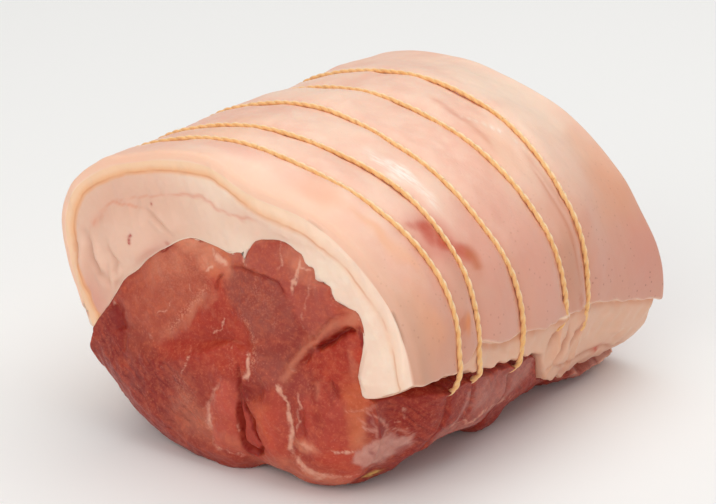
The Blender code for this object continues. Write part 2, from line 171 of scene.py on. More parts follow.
def underRadius(angle, along):
    row = rowAt(along)
    first, last = roll["underBackRows"]
    middle = smooth(roll["underMiddle"], angle)
    radius = middle + (smooth(roll["underFront"], angle) - middle) * frontShare(along, "under")
    back = ease((row - first) / (last - first), 0, 1)
    radius = radius + (smooth(roll["underBack"], angle) - middle) * back
    for height, atAngle, halfAngle, atRow, halfRow in roll["lumps"]:
        radius = radius + height * np.exp(-((angle - atAngle) / halfAngle) ** 2
                                          - ((row - atRow) / halfRow) ** 2)
    return radius


def leanTopRadius(angle, along):
    plain = smooth(roll["leanTop"], angle)
    return plain + (smooth(roll["leanTopCut"], angle) - plain) * frontShare(along, "leanTop")


def spot(angle, radius, along, behind=0.0):
    # a place on the roll, `behind` millimetres further back
    turn = np.radians(angle)
    x, z = radius * np.cos(turn), roll["centreZ"] + radius * np.sin(turn)
    return np.stack([x, planeY(rowAt(along), x, z) + behind, z], -1)


def waves(places, size, seed, count=26):
    # smooth random swells of about -1..1, `size` millimetres apart
    draw = np.random.default_rng(seed)
    way = draw.normal(size=(count, 3))
    length = size * draw.uniform(0.7, 1.6, (count, 1))
    way = way / np.linalg.norm(way, axis=1)[:, None] * (2 * math.pi / length)
    return np.sin(places @ way.T + draw.uniform(0, 2 * math.pi, count)).sum(1) / math.sqrt(count)


def mixedWaves(places, layers):
    # swells of several sizes added up: (height, size, seed)
    return sum(height * waves(places, size, seed) for height, size, seed in layers)


def nearLine(a, b, line):
    # distance to a drawn line, and the share of its length where it is nearest
    best, share = np.full(np.shape(a), 1e9), np.zeros(np.shape(a))
    points = np.array(line, float)
    steps = np.hypot(*(points[1:] - points[:-1]).T)
    start = 0.0
    for (a0, b0), (a1, b1), step in zip(points, points[1:], steps):
        t = np.clip(((a - a0) * (a1 - a0) + (b - b0) * (b1 - b0)) / step ** 2, 0, 1)
        away = np.hypot(a - a0 - t * (a1 - a0), b - b0 - t * (b1 - b0))
        share = np.where(away < best, (start + t * step) / steps.sum(), share)
        best = np.minimum(away, best)
        start += step
    return best, share


def drawn(a, b, strokes, fade=0.15):
    # the strongest of several drawn strokes: (strength, half width, line)
    total = np.zeros(np.shape(a))
    for strength, half, line in strokes:
        away, share = nearLine(a, b, line)
        ends = ease(share, 0, fade) * ease(1 - share, 0, fade) * 0.7 + 0.3
        total = np.maximum(total, strength * ends * hill(away, half))
    return total


def within(a, b, outline, soft):
    # 1 inside a closed outline, fading over `soft` millimetres to each side of it
    away, _ = nearLine(a, b, outline + outline[:1])
    odd = np.zeros(np.shape(a), bool)
    for (a0, b0), (a1, b1) in zip(outline, outline[1:] + outline[:1]):
        if b0 != b1:
            odd ^= ((b0 > b) != (b1 > b)) & (a < a0 + (a1 - a0) * (b - b0) / (b1 - b0))
    return ease(np.where(odd, away, -away), -soft, soft)


def patches(a, b, blobs):
    # soft leaning ovals: (strength, a, b, half length, half width, lean in degrees)
    total = np.zeros(np.shape(a))
    for strength, a0, b0, halfA, halfB, leaning in blobs:
        c, s = math.cos(math.radians(leaning)), math.sin(math.radians(leaning))
        u, v = (a - a0) * c + (b - b0) * s, (b - b0) * c - (a - a0) * s
        total = np.maximum(total, strength * np.exp(-((u / halfA) ** 2 + (v / halfB) ** 2) ** 1.5))
    return total


def rolledOut(strokes):
    # strokes given as (angle, millimetres along), with the angles as millimetres over the skin
    return [(strength, half, [(angle * markDegree, along) for angle, along in line])
            for strength, half, line in strokes]


# The photo's view of the joint: place in metres, turn in degrees, direction, lens in millimetres
cameraView = {"place": (0.6076, -0.8444, 0.4774), "turn": 36.0, "ahead": (-0.545, 0.750, -0.3746),
              "lens": 150.84, "sensor": 36.0}


def seenOnCut(places):
    # where a place of the domed face lies on the flat cut, along the photo's line of sight
    eye = np.array(cameraView["place"]) / mm + np.array([*roll["middle"], 0.0])
    place, slopeX, slopeZ = planes[0]
    ray = places - eye
    reach = place + slopeX * eye[0] + slopeZ * (eye[2] - roll["centreZ"]) - eye[1]
    t = reach / (ray[:, 1] - slopeX * ray[:, 0] - slopeZ * ray[:, 2])
    seen = eye + ray * t[:, None]
    return seen[:, 0], seen[:, 2]


# A mesh gathered as numbered points, each with its own coordinates on the roll
class Shell:
    def __init__(self):
        self.parts, self.count, self.faces = [], 0, []

    def points(self, *values):
        # adds points with these coordinates and gives their numbers
        values = np.broadcast_arrays(*values)
        first = self.count
        self.count += values[0].size
        self.parts.append(np.stack([np.ravel(v) for v in values], 1))
        return np.arange(first, self.count).reshape(np.shape(values[0]))

    def grid(self, lines, closed=False):
        # faces between neighbouring lines of points
        following = np.roll(lines, -1, 1) if closed else lines[:, 1:]
        here = lines if closed else lines[:, :-1]
        quads = np.stack([here[:-1], following[:-1], following[1:], here[1:]], -1)
        self.faces.extend(quads.reshape(-1, 4).tolist())

    def bridge(self, one, keyOne, two, keyTwo, period):
        # a closed band between two loops of unlike counts, whose keys rise from the same start
        i = j = 0
        while i < len(one) or j < len(two):
            nextOne = keyOne[i + 1] if i + 1 < len(one) else period + keyOne[0]
            nextTwo = keyTwo[j + 1] if j + 1 < len(two) else period + keyTwo[0]
            a, b = int(one[i % len(one)]), int(two[j % len(two)])
            if j >= len(two) or (i < len(one) and nextOne <= nextTwo):
                self.faces.append([a, int(one[(i + 1) % len(one)]), b])
                i += 1
            else:
                self.faces.append([a, int(two[(j + 1) % len(two)]), b])
                j += 1

    def coordinates(self):
        return np.concatenate(self.parts).T


def makePiece(name, places, faces, material, replaced, values):
    # a mesh from places in millimetres, with its values at each point, put in place of a solid
    mesh = bpy.data.meshes.new(name)
    mesh.from_pydata(((places - np.array([*roll["middle"], 0.0])) * mm).tolist(), [], faces)
    mesh.update()
    for key, value in values.items():
        value = np.asarray(value, np.float32)
        kind = "FLOAT" if value.ndim == 1 else "FLOAT_VECTOR"
        layer = mesh.attributes.new(key, kind, "POINT")
        layer.data.foreach_set("value" if value.ndim == 1 else "vector", value.ravel())
    mesh.materials.append(material)
    mesh.shade_smooth()
    piece = bpy.data.objects.new(name, mesh)
    bpy.context.scene.collection.objects.link(piece)
    bpy.context.view_layer.objects.active = piece
    piece.select_set(True)
    bpy.ops.object.mode_set(mode="EDIT")
    bpy.ops.mesh.select_all(action="SELECT")
    bpy.ops.mesh.normals_make_consistent(inside=False)
    bpy.ops.object.mode_set(mode="OBJECT")
    piece.select_set(False)
    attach(piece, "root")
    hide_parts(replaced)
    print(f"{name}: {len(mesh.vertices)} points, {len(mesh.polygons)} faces")
    return piece


def alongPlaces(step, fine, reach):
    # places along the joint: `step` apart, and `fine` apart within `reach` of a loop and at the ends
    found = [0.0]
    while found[-1] < jointLength:
        here = found[-1]
        near = min(fromLoop(here + fine), here, jointLength - here)
        found.append(here + (fine if near < reach else step))
    found = np.array(found)
    return found * jointLength / found[-1]


# One output of a material's tree, which numbers and other outputs combine with through Math nodes
class Wire:
    def __init__(self, tree, out=None):
        self.tree, self.out = tree, out

    def add(self, kind, settings=None, inputs=None, output=0):
        node = self.tree.nodes.new("ShaderNode" + kind)
        for key, value in (settings or {}).items():
            setattr(node, key, value)
        for key, value in (inputs or {}).items():
            if isinstance(value, Wire):
                self.tree.links.new(value.out, node.inputs[key])
            else:
                node.inputs[key].default_value = value
        return Wire(self.tree, node.outputs[output])

    def maths(self, operation, *values):
        return self.add("Math", {"operation": operation}, dict(enumerate(values)))

    def __add__(self, other):
        return self.maths("ADD", self, other)

    def __sub__(self, other):
        return self.maths("SUBTRACT", self, other)

    def __mul__(self, other):
        return self.maths("MULTIPLY", self, other)

    def __rsub__(self, other):
        return self.maths("SUBTRACT", other, self)

    __radd__ = __add__
    __rmul__ = __mul__

    def most(self, other):
        return self.maths("MAXIMUM", self, other)

    def between(self, low, high, start=0.0, end=1.0):
        return self.add("MapRange", {"interpolation_type": "SMOOTHSTEP"},
                        {"Value": self, "From Min": low, "From Max": high, "To Min": start, "To Max": end})

    def mix(self, one, two):
        # two colours mixed by this value
        return self.add("Mix", {"data_type": "RGBA", "clamp_factor": True}, {0: self, 6: one, 7: two}, 2)

    def mixTones(self, pair):
        return self.mix(tone(*pair[0]), tone(*pair[1]))

    def stretch(self, scale):
        return self.add("Mapping", None, {"Vector": self, "Scale": scale})

    def noise(self, size, detail=2.0, rough=0.5, distort=0.0):
        # cloudy values of 0..1, `size` millimetres across, over this place
        return self.add("TexNoise", None, {"Vector": self, "Scale": 1 / (size * mm), "Detail": detail,
                                           "Roughness": rough, "Distortion": distort})


def tone(red, green, blue):
    # a screen colour of 0..255 as the shader holds it
    share = [c / 255 for c in (red, green, blue)]
    return (*[c / 12.92 if c <= 0.04045 else ((c + 0.055) / 1.055) ** 2.4 for c in share], 1.0)


def newMaterial(name, settings, tones):
    # a material's tree, with the ways to read a mark, lay a tone over another, and join it all up
    material = bpy.data.materials.new(name)
    material.use_nodes = True
    tree = material.node_tree
    shader = tree.nodes["Principled BSDF"]
    for key, value in settings.items():
        shader.inputs[key].default_value = value
    place = Wire(tree).add("TexCoord", output="Object")

    def mark(key, output="Fac"):
        return place.add("Attribute", {"attribute_name": key}, None, output)

    def over(base, key, share=None):
        # the tone called `key` laid over the base: where its mark is, or by another share
        strength, colour = tones[key]
        share = mark(key) if share is None else share
        return (share * strength).mix(base, tone(*colour))

    def finish(colour, roughness, bumps):
        normal = None
        for height, depth, strength in bumps:      # depth in millimetres
            inputs = {"Height": height, "Distance": depth * mm, "Strength": strength}
            if normal:
                inputs["Normal"] = normal
            normal = place.add("Bump", None, inputs)
        tree.links.new(colour.out, shader.inputs["Base Color"])
        tree.links.new(roughness.out, shader.inputs["Roughness"])
        tree.links.new(normal.out, shader.inputs["Normal"])
        return material

    return place, mark, over, finish


# The cap of rind and fat, in millimetres and degrees
fatCap = {
    "skinThickness": 4.2, "leftLedge": 0.25,       # the fat steps back under the skin's cut edge
    "puff": 0.9, "puffWide": 4.2,                  # swelling between the loops
    "lowPuff": 0.9, "lowPuffRows": (1.2, 2.2),     # stronger low on the right, and weaker at the back
    "backPuffRows": (5.0, 5.3), "backPuffLoss": 0.7,
    "loopGive": 0.6, "loopGiveWide": 2.5,          # the step under the skin's edge is less at a loop
    # widths of the groove under a loop and of the one that closes over it, and that one's depth
    "grooves": {"open": 1.35, "closed": 0.8, "closedDepth": 0.7},
    # the cut edges' waver, less along the skin and near the front
    "edgeRipple": 0.7, "rippleSize": 9, "rippleShares": (1.0, 0.3, 0.5, 1.0), "rippleFrom": (3, 12),
    # swells of the skin: height, angle, half width in degrees, millimetres along, half length
    "swells": [(0.9, 128, 20, 84, 9), (-1.2, 20, 22, 160, 22), (-1.0, 117, 13, 163, 14),
               (-0.8, 1, 8, 165, 12), (1.0, 141, 9, 150, 16), (0.9, 136, 12, 94, 7)],
    "rimFront": 2.9, "rimBack": 1.6,               # rounding of the skin at the cut faces
    "endRound": 2.6, "endBulge": 2.2,              # rounding of the fat's low ends
    "endShare": 0.02, "overlap": 0.3, "faceDepth": 26,
    "rings": (1.35, 0.5, 3.0),                     # their spacing, closer at a loop, and how near to it
    "columns": 250, "ledgeColumns": 34, "leftColumns": 12, "endColumns": 9, "innerColumns": 30,
    "faceColumns": 520, "faceStep": 0.62, "backStep": 1.3,
    # the skin's cut edge: millimetres from it over the skin, and share of the step down to the fat
    "edge": [(-0.8, 1.0), (-0.5, 0.93), (-0.25, 0.72), (0.0, 0.42), (0.25, 0.2), (0.5, 0.1),
             (0.8, 0.045), (1.2, 0.012), (1.7, 0.0)],
    # how high or deep each mark stands
    "relief": {"scratch": 0.15, "wrinkle": 0.12, "amber": 0.1, "ridge": 1.3, "furrow": 1.2, "cushion": 2.8,
               "fascia": 0.2, "folds": 2.4, "rimLine": 0.2, "lowEnd": 1.8, "tuckedEnd": 1.8},
    # where each mark or relief comes in: degrees, millimetres along, or millimetres from an edge
    "spans": {"skinEdge": (-0.1, 0.4), "calmBack": (0, 16), "lowEndIn": (0, 6), "lowEndOut": (-30, -8),
              "inFace": (0, 1.5), "tuckAcross": (-6, 0), "tuckAlong": (-5, 0), "front": (-13, -1),
              "topLeft": (30, 120), "shadedLowRight": (-60, 10), "recessIn": (0.2, 0.9),
              "recessOut": (-4.5, -1.2)},
    "rimLineDeep": 5.2, "rimLineHalf": 0.7, "loopShadow": 1.3, "lipHalf": 0.7,
    # random swells: height, size, seed
    "waves": {"mark": [(0.5, 16, 5)], "cloudU": [(2.5, 16, 6)], "cloudV": [(2.0, 14, 7)],
              "skin": [(0.38, 24, 11), (0.10, 7, 12)], "folds": [(0.35, 8, 14)],
              "ledgeU": [(0.5, 6, 15)], "ledgeV": [(0.5, 6, 16)], "cut": [(0.5, 7, 21)],
              "rimLine": [(0.5, 14, 22)], "lumps": [(0.28, 8, 23), (0.10, 3.5, 24)]},
    "finish": {"Subsurface Weight": 0.18, "Subsurface Radius": (1.0, 0.45, 0.28),
               "Subsurface Scale": 0.004, "Specular IOR Level": 0.45, "Coat Weight": 0.12,
               "Coat Roughness": 0.28},
    # noise: size in millimetres, detail, roughness, distortion
    "noise": {"cloud": (38, 2, 0.5, 0.3), "fine": (6, 3, 0.6), "grain": (0.9, 3, 0.6),
              "bands": (4.5, 2, 0.5), "streaks": (0.9, 3, 0.65), "pores": (14, 1),
              "wander": (9, 2), "thread": (11, 1)},
    "poreSize": 2.6, "bandStretch": (0.12, 1.0, 0.12), "streakStretch": (0.16, 1.0, 0.16),
    # pairs of screen colours that clouds or places mix
    "pairs": {"skin": ((249, 210, 187), (241, 187, 164)), "front": ((248, 200, 172), (200, 150, 126)),
              "fat": ((250, 224, 202), (246, 210, 188)), "rind": ((250, 218, 196), (248, 206, 168))},
    # tones laid one over another: strength and screen colour
    "tones": {
        # the second tone here darkens the skin low on the right: painted shade, with a pinker skin there
        "light": (0.3, (252, 222, 200)), "shadedLowRight": (0.9, (210, 150, 128)),
        "bands": (0.22, (206, 146, 124)),
        "rosy": (0.85, (228, 156, 138)), "peach": (0.8, (240, 176, 134)), "salmon": (0.8, (226, 156, 122)),
        # the dusky brown here is painted shade low on the right between the loops
        "cream": (0.8, (255, 226, 203)), "duskyShade": (0.7, (196, 138, 112)), "mauve": (0.7, (216, 146, 130)),
        # the palest tone here is a painted highlight between the second and third loops
        "pale": (1.0, (255, 240, 228)), "flush": (1.0, (196, 82, 56)), "amber": (0.7, (198, 106, 60)),
        "spot": (0.9, (224, 140, 88)), "scratch": (0.8, (255, 244, 232)), "pore": (1.0, (158, 92, 76)),
        # the greyer tone here darkens the left of the cut fat: painted shade
        "lightFat": (0.4, (252, 232, 212)), "greyedShade": (0.95, (222, 172, 148)),
        # the cushion tone is a painted highlight on the cushions' tops
        "cushion": (0.45, (242, 204, 182)), "rosyCut": (0.8, (214, 140, 126)),
        "rimLine": (1.0, (236, 164, 104)), "thread": (0.45, (214, 132, 84)),
        # the fold tone is painted shade in the folds of the cut fat
        "fascia": (0.55, (222, 134, 104)), "folds": (0.7, (200, 148, 124)), "spots": (1.0, (176, 54, 48)),
        # the ledge tone darkens the fat under the skin's cut edge low on the right: painted shade
        "ledge": (0.8, (227, 172, 141)), "rosyLedge": (0.7, (206, 132, 114)),
        # the middle tone here is painted shadow just under the skin's cut edge
        "furrow": (0.7, (196, 116, 84)), "shadowUnderEdge": (0.6, (206, 132, 92)), "vessel": (1.0, (206, 84, 58)),
        # the second tone here is a painted warm contact shadow beside the loops
        "lip": (0.75, (250, 222, 196)), "loopShadow": (0.5, (246, 164, 104)),
    },
}

# Marks on the skin, as (angle, millimetres along): strength, half width in millimetres, line
skinMarks = {
    "amber": [(0.8, 3.0, [(12, 30), (8, 32)]), (0.7, 2.2, [(0, 111), (-3, 114)]),
              # the next two strokes, beside the fifth loop, are painted shade next to it
              (0.9, 1.7, [(22, 119), (10, 119.5), (-3, 120)]),
              (0.35, 1.5, [(46, 116), (34, 117), (22, 118.5)]),
              (1.0, 2.8, [(27.5, 49.5), (24.5, 52.5), (20.5, 51.5)]),
              (0.6, 0.9, [(40, 114), (30, 113.5), (20, 113), (10, 113), (3, 113)]),
              (0.5, 1.2, [(85, 109), (66, 108), (50, 105)])],
    "scratch": [(0.8, 0.55, [(61, 112.5), (58, 114), (55, 115.5)]),
                (0.35, 0.5, [(70, 109), (65, 110.5), (60, 113)]), (0.35, 0.4, [(52, 117), (46, 119)]),
                # the last stroke is a streak of the painted highlight between the second and third loops
                (0.4, 0.5, [(70, 51), (60, 54), (52, 55)])],
    "wrinkle": [(0.7, 0.8, [(94, 124), (86, 127), (78, 129)]), (0.5, 0.7, [(90, 131), (80, 134)]),
                (0.45, 0.7, [(84, 136), (74, 138)]), (0.3, 0.8, [(60, 110), (45, 108), (30, 109)])],
}

# Soft clouds of colour on the skin: strength, angle, millimetres along, half sizes, lean in degrees
skinClouds = {
    "flush": [(0.7, 40.5, 30, 6, 3.4, -40), (1.0, 36.5, 35.5, 8, 5, -40), (1.0, 31.5, 42, 8, 5, -45),
              (1.0, 27, 48.5, 6, 4.2, -45), (0.45, 34, 38, 17, 10, -45)],
    "rosy": [(0.7, 32, 38, 20, 16, 0), (0.6, 26, 62, 22, 14, 0), (0.6, 18, 86, 26, 15, 0),
             (0.5, 104, 19, 20, 8, 0), (0.4, 74, 16, 20, 6, 0), (0.4, 8, 60, 14, 40, 0)],
    "peach": [(0.8, 44, 16, 14, 3.5, 0), (0.6, 33, 17, 9, 3.5, 0), (0.4, 30, 156, 24, 12, 0),
              (0.5, 66, 15, 16, 8, 0), (0.4, 50, 108, 16, 9, 0),
              (0.5, 120, 36, 16, 16, 0), (0.5, 16, 10, 14, 6, 0)],
    # dusky brown patches low on the right near the loops: painted shade
    "duskyShade": [(0.9, 6, 108, 16, 9, 0), (0.5, 20, 35, 9, 8, 0), (0.4, 6, 30, 9, 16, 0)],
    "mauve": [(0.9, 1, 158, 16, 14, 0), (0.5, 4, 138, 14, 20, 0)],
    "salmon": [(0.7, 20, 154, 20, 16, 0), (0.45, 36, 158, 16, 9, 0), (0.5, 12, 110, 16, 8, 0),
               (0.5, 6, 14, 14, 12, 0)],
    # a painted highlight: whitish, with streaks, between the second and third loops
    "pale": [(1.0, 59, 53, 17, 4.2, 0)],
    "cream": [(1.0, 78, 150, 42, 22, 0), (0.5, 100, 128, 20, 10, 0)],
    "spot": [(1.0, 9.5, 33.2, 2.8, 2.4, 0)],
}


def ripple(at, size, seed, count=7):
    # smooth random swing of about -1..1 along the joint
    draw = np.random.default_rng(seed)
    turn = np.asarray(at)[..., None] * 2 * math.pi / (size * draw.uniform(0.6, 1.6, count))
    return np.sin(turn + draw.uniform(0, 2 * math.pi, count)).sum(-1) / 2.6    # about the root of the count


def fatEnds(along):
    # angles where the fat and its skin end: low right end, skin right, skin left, left end
    row = rowAt(along)
    ends = [smooth(roll[key], row) for key in ("fatEndRight", "skinEndRight", "skinEndLeft", "fatEndLeft")]
    waver = fatCap["edgeRipple"] * ease(along, *fatCap["rippleFrom"])
    return [end + waver * share * ripple(along, fatCap["rippleSize"], 70 + i)
            for i, (end, share) in enumerate(zip(ends, fatCap["rippleShares"]))]


# The loops of twine, in millimetres and degrees
twine = {
    "reach": 1.35,            # from the pressed-in surface to the loop's middle
    # how deep it presses in: the skin, the lean, the fat under the skin's edge, and the fat's ends
    "skinSink": 1.2, "leanSink": 2.4, "ledgeSink": 1.08, "endSink": 2.4,
    "seat": 0.6,              # from the loop's middle down to the visible surface under it
    "routePoints": 400, "smoothings": 6,
    "push": 6.0, "lips": 1.4, "lipsWide": 3.2,     # how the meat comes out to the loop and over it
    # angles where each loop sinks out of sight: in the lean, and in the fat under the skin's edge
    "lastSeen": [-2.6, -1.2, -6, -18, -22], "lastSeenFat": [-60, -60, -60, 0.8, -5], "leftSeen": 214,
    "coverLeft": (0, 10), "coverRight": (-3, 5),   # degrees over which the meat closes over it
    "hiddenSink": 5.0,                             # how much deeper it runs where it is out of sight
    "hiddenLeft": (6, 30), "hiddenRight": (5, 16),
    "ply": 0.77, "offset": 0.35, "pitch": 8.6, "step": 0.45, "sides": 8,
    "knotAngle": 207.0, "coil": 1.35, "coilHalf": 2.2, "coilLift": 0.3, "turns": 2.4, "coilPoints": 60,
    # the knot's cut ends: length, their way out, along and down, and the fibres at their tips
    "tail": 9.0, "tailWay": (0.55, 0.7, 0.45), "tailBend": 1.5, "tailSag": 1.5, "tailPoints": 14,
    "tailFibres": 10, "tailSpread": 0.4, "tailFibreThick": (0.12, 0.05),
    # loose fibres: how many, and how long, thick, slanting, far out and curled they are
    "fibres": 34, "fibreLength": 3.2, "fibreLengths": (0.4, 1.3), "fibreThick": 0.055,
    "fibreSlants": (0.5, 1.0), "fibreOut": 0.9, "fibreCurl": 0.35, "fibreSwing": 0.4,
    "towardLamp": (0.15, 0.60, 0.79),                # the side toward the lamp over the joint, painted paler: painted light
    # tufts of loose fibre: loop, angle, how many
    "tufts": [(4, 64, 9), (4, 48, 8), (3, 70, 5), (5, 92, 4)],
    "finish": {"Specular IOR Level": 0.3, "Sheen Weight": 0.3, "Subsurface Weight": 0.15,
               "Subsurface Radius": (1.0, 0.6, 0.3), "Subsurface Scale": 0.0008},
    "plain": ((250, 196, 134), (240, 178, 110)),
    # noise: size in millimetres, detail, roughness; and the strands' scale along and round a ply
    "noise": {"strands": (0.22, 3, 0.6), "cloud": (7, 2, 0.6), "stain": (2.0, 2)},
    "strandScale": (0.10, 0.0006),
    # tones laid one over another: strength and screen colour
    # the outer tone darkens the valleys between the plies: painted shade
    "tones": {"strands": (0.45, (246, 206, 150)), "outer": (0.45, (190, 118, 56)),
              # on this line: painted shade on the side facing the joint, then painted light on the side
              # toward the lamp
              "inwardShade": (0.6, (190, 112, 48)), "litSide": (1.0, (255, 232, 200)),
              "stain": (0.4, (190, 126, 62)), "frayed": (0.6, (250, 226, 170))},
}


def hull(points):
    # the outline of a rubber band round the points
    ordered = sorted(map(tuple, points))
    halves = []
    for run in (ordered, ordered[::-1]):
        half = []
        for p in run:
            while len(half) > 1 and ((half[-1][0] - half[-2][0]) * (p[1] - half[-2][1])
                                     - (half[-1][1] - half[-2][1]) * (p[0] - half[-2][0])) <= 0:
                half.pop()
            half.append(p)
        halves += half[:-1]
    return np.array(halves)


def twineRoute(number):
    # taut round the pressed-in section, clear of it and of the floor
    along = loopPlaces[number - 1]
    low, skinLow, skinHigh, high = fatEnds(along)
    angle = np.linspace(low, high, 220)
    outer = skinRadius(angle, along) - twine["skinSink"]
    outer = outer - twine["ledgeSink"] * ((angle < skinLow) + fatCap["leftLedge"] * (angle > skinHigh))
    outer[[0, -1]] -= twine["endSink"]
    # round the underside, from just past the left end to a degree short of the right one
    below = np.linspace(high + 0.9, low - smooth(roll["lobe"], rowAt(along)) + 359, 160)
    radius = np.concatenate([outer, underRadius(below, along) - twine["leanSink"]])
    section = spot(np.concatenate([angle, below]), radius, along)[:, [0, 2]]
    taut = hull(np.maximum(section, (-1e9, 0.0)))
    closed = np.vstack([taut, taut[:1]])
    steps = np.concatenate([[0], np.cumsum(np.hypot(*np.diff(closed, axis=0).T))])
    even = np.linspace(0, steps[-1], twine["routePoints"], endpoint=False)
    line = np.stack([np.interp(even, steps, closed[:, k]) for k in (0, 1)], 1)
    for _ in range(twine["smoothings"]):
        line = (np.roll(line, 1, 0) + 2 * line + np.roll(line, -1, 0)) / 4
    way = np.roll(line, -1, 0) - np.roll(line, 1, 0)
    way = way / np.linalg.norm(way, axis=1)[:, None]
    turn = np.degrees(np.arctan2(line[:, 1] - roll["centreZ"], line[:, 0])) % 360
    last = 360 + max(twine["lastSeen"][number - 1], twine["lastSeenFat"][number - 1])
    hidden = ease(turn - twine["leftSeen"], *twine["hiddenLeft"]) * ease(last - turn, *twine["hiddenRight"])
    reach = (twine["reach"] - twine["hiddenSink"] * hidden)[:, None]
    line = line + np.stack([way[:, 1], -way[:, 0]], 1) * reach
    line[:, 1] = np.maximum(line[:, 1], twine["reach"])
    return np.stack([line[:, 0], planeY(rowAt(along), line[:, 0], line[:, 1]), line[:, 1]], 1)


loopRoutes = [twineRoute(number) for number in range(1, len(loopPlaces) + 1)]


def loopRadius(number, angle):
    # from the roll's middle to the middle of a loop
    route = loopRoutes[number]
    turn = np.degrees(np.arctan2(route[:, 2] - roll["centreZ"], route[:, 0]))
    return np.interp(angle, turn, np.hypot(route[:, 0], route[:, 2] - roll["centreZ"]), period=360)


def pressed(radius, angle, along, grooves, lastSeen):
    # drawn in under each loop, pushed out to it where it would hang free, closed over it low down
    for number, place in enumerate(loopPlaces):
        away = along - place
        loop = loopRadius(number, angle)
        floor = loop - twine["seat"]
        radius = radius + np.maximum(0, floor - radius) * hill(away, twine["push"])
        turn = angle % 360
        cover = ease(turn - twine["leftSeen"], *twine["coverLeft"])
        cover = cover * ease(360 + twine[lastSeen][number] - turn, *twine["coverRight"])
        lip = np.maximum(0, loop + twine["lips"] - radius)
        radius = radius + lip * cover * hill(away, twine["lipsWide"])
        radius = radius - np.maximum(0, radius - floor) * (1 - cover) * hill(away, grooves["open"])
        radius = radius - grooves["closedDepth"] * cover * hill(away, grooves["closed"])
    return radius


def fatColumns(along):
    # angles of the outside columns at each place along, from the right low end to the left
    low, skinLow, skinHigh, high = (np.asarray(v)[..., None] for v in fatEnds(along))
    edge = np.array([e[0] for e in fatCap["edge"]]) / edgeDegree
    ledge = low + (skinLow + edge[0] - low) * np.linspace(0, 1, fatCap["ledgeColumns"], endpoint=False)
    middle = np.linspace(0, 1, fatCap["columns"])[1:-1]
    rind = skinLow + edge[-1] + (skinHigh - skinLow - 2 * edge[-1]) * middle
    leftLedge = high - (high - skinHigh + edge[0]) * np.linspace(1, 0, fatCap["leftColumns"])[1:]
    return np.concatenate([ledge, skinLow + edge, rind, skinHigh - edge[::-1], leftLedge], -1)


def fatOutside(angle, along):
    # radius of the fat's outside, over the skin and over the ledges below its cut edges
    near, row = fromLoop(along), rowAt(along)
    low, skinLow, skinHigh, high = fatEnds(along)
    puff = fatCap["puff"] + fatCap["lowPuff"] * ease(-angle, -30, 4) * ease(row, *fatCap["lowPuffRows"])
    puff = puff * (1 - fatCap["backPuffLoss"] * ease(row, *fatCap["backPuffRows"]))
    radius = skinRadius(angle, along) + puff * (1 - hill(near, fatCap["puffWide"]))
    for height, atAngle, halfAngle, place, half in fatCap["swells"]:
        radius = radius + height * hill(angle - atAngle, halfAngle) * hill(along - place, half)
    steps, shares = np.array(fatCap["edge"]).T
    right = np.interp((angle - skinLow) * edgeDegree, steps, shares)
    left = np.interp((skinHigh - angle) * edgeDegree, steps, shares) * fatCap["leftLedge"]
    give = 1 - fatCap["loopGive"] * hill(near, fatCap["loopGiveWide"])
    radius = radius - fatCap["skinThickness"] * (right + left) * give
    radius = pressed(radius, angle, along, fatCap["grooves"], "lastSeenFat")
    for size, toFace in ((fatCap["rimFront"], along), (fatCap["rimBack"], jointLength - along)):
        rim = np.clip(1 - toFace / size, 0, 1)
        radius = radius - size * (1 - np.sqrt(1 - rim ** 2))
    toEnd = np.minimum(angle - low, high - angle) * edgeDegree
    end = np.clip(1 - toEnd / fatCap["endRound"], 0, 1)
    return radius - fatCap["endRound"] * (1 - np.sqrt(1 - end ** 2))


def fatSpot(across, share, along):
    # places and thickness: across is an angle, and share runs from 0 outside to 1 at the lean
    low, skinLow, skinHigh, high = fatEnds(along)
    outer = fatOutside(across, along)
    atEnd = (across - low) / (high - low)
    lobe = smooth(roll["lobe"], rowAt(along))
    inside = low - lobe + (high - low + lobe) * atEnd
    angle = across + (inside - across) * share
    inner = leanTopRadius(inside, along) - fatCap["overlap"]
    bulge = fatCap["endBulge"] * np.sqrt(np.clip(1 - (2 * share - 1) ** 2, 0, 1))
    radius = outer + (inner - outer) * share
    turn = np.degrees(bulge / radius)
    right, left = np.exp(-atEnd / fatCap["endShare"]), np.exp(-(1 - atEnd) / fatCap["endShare"])
    angle = angle - turn * right + turn * left
    return spot(angle, radius, along), outer - inner


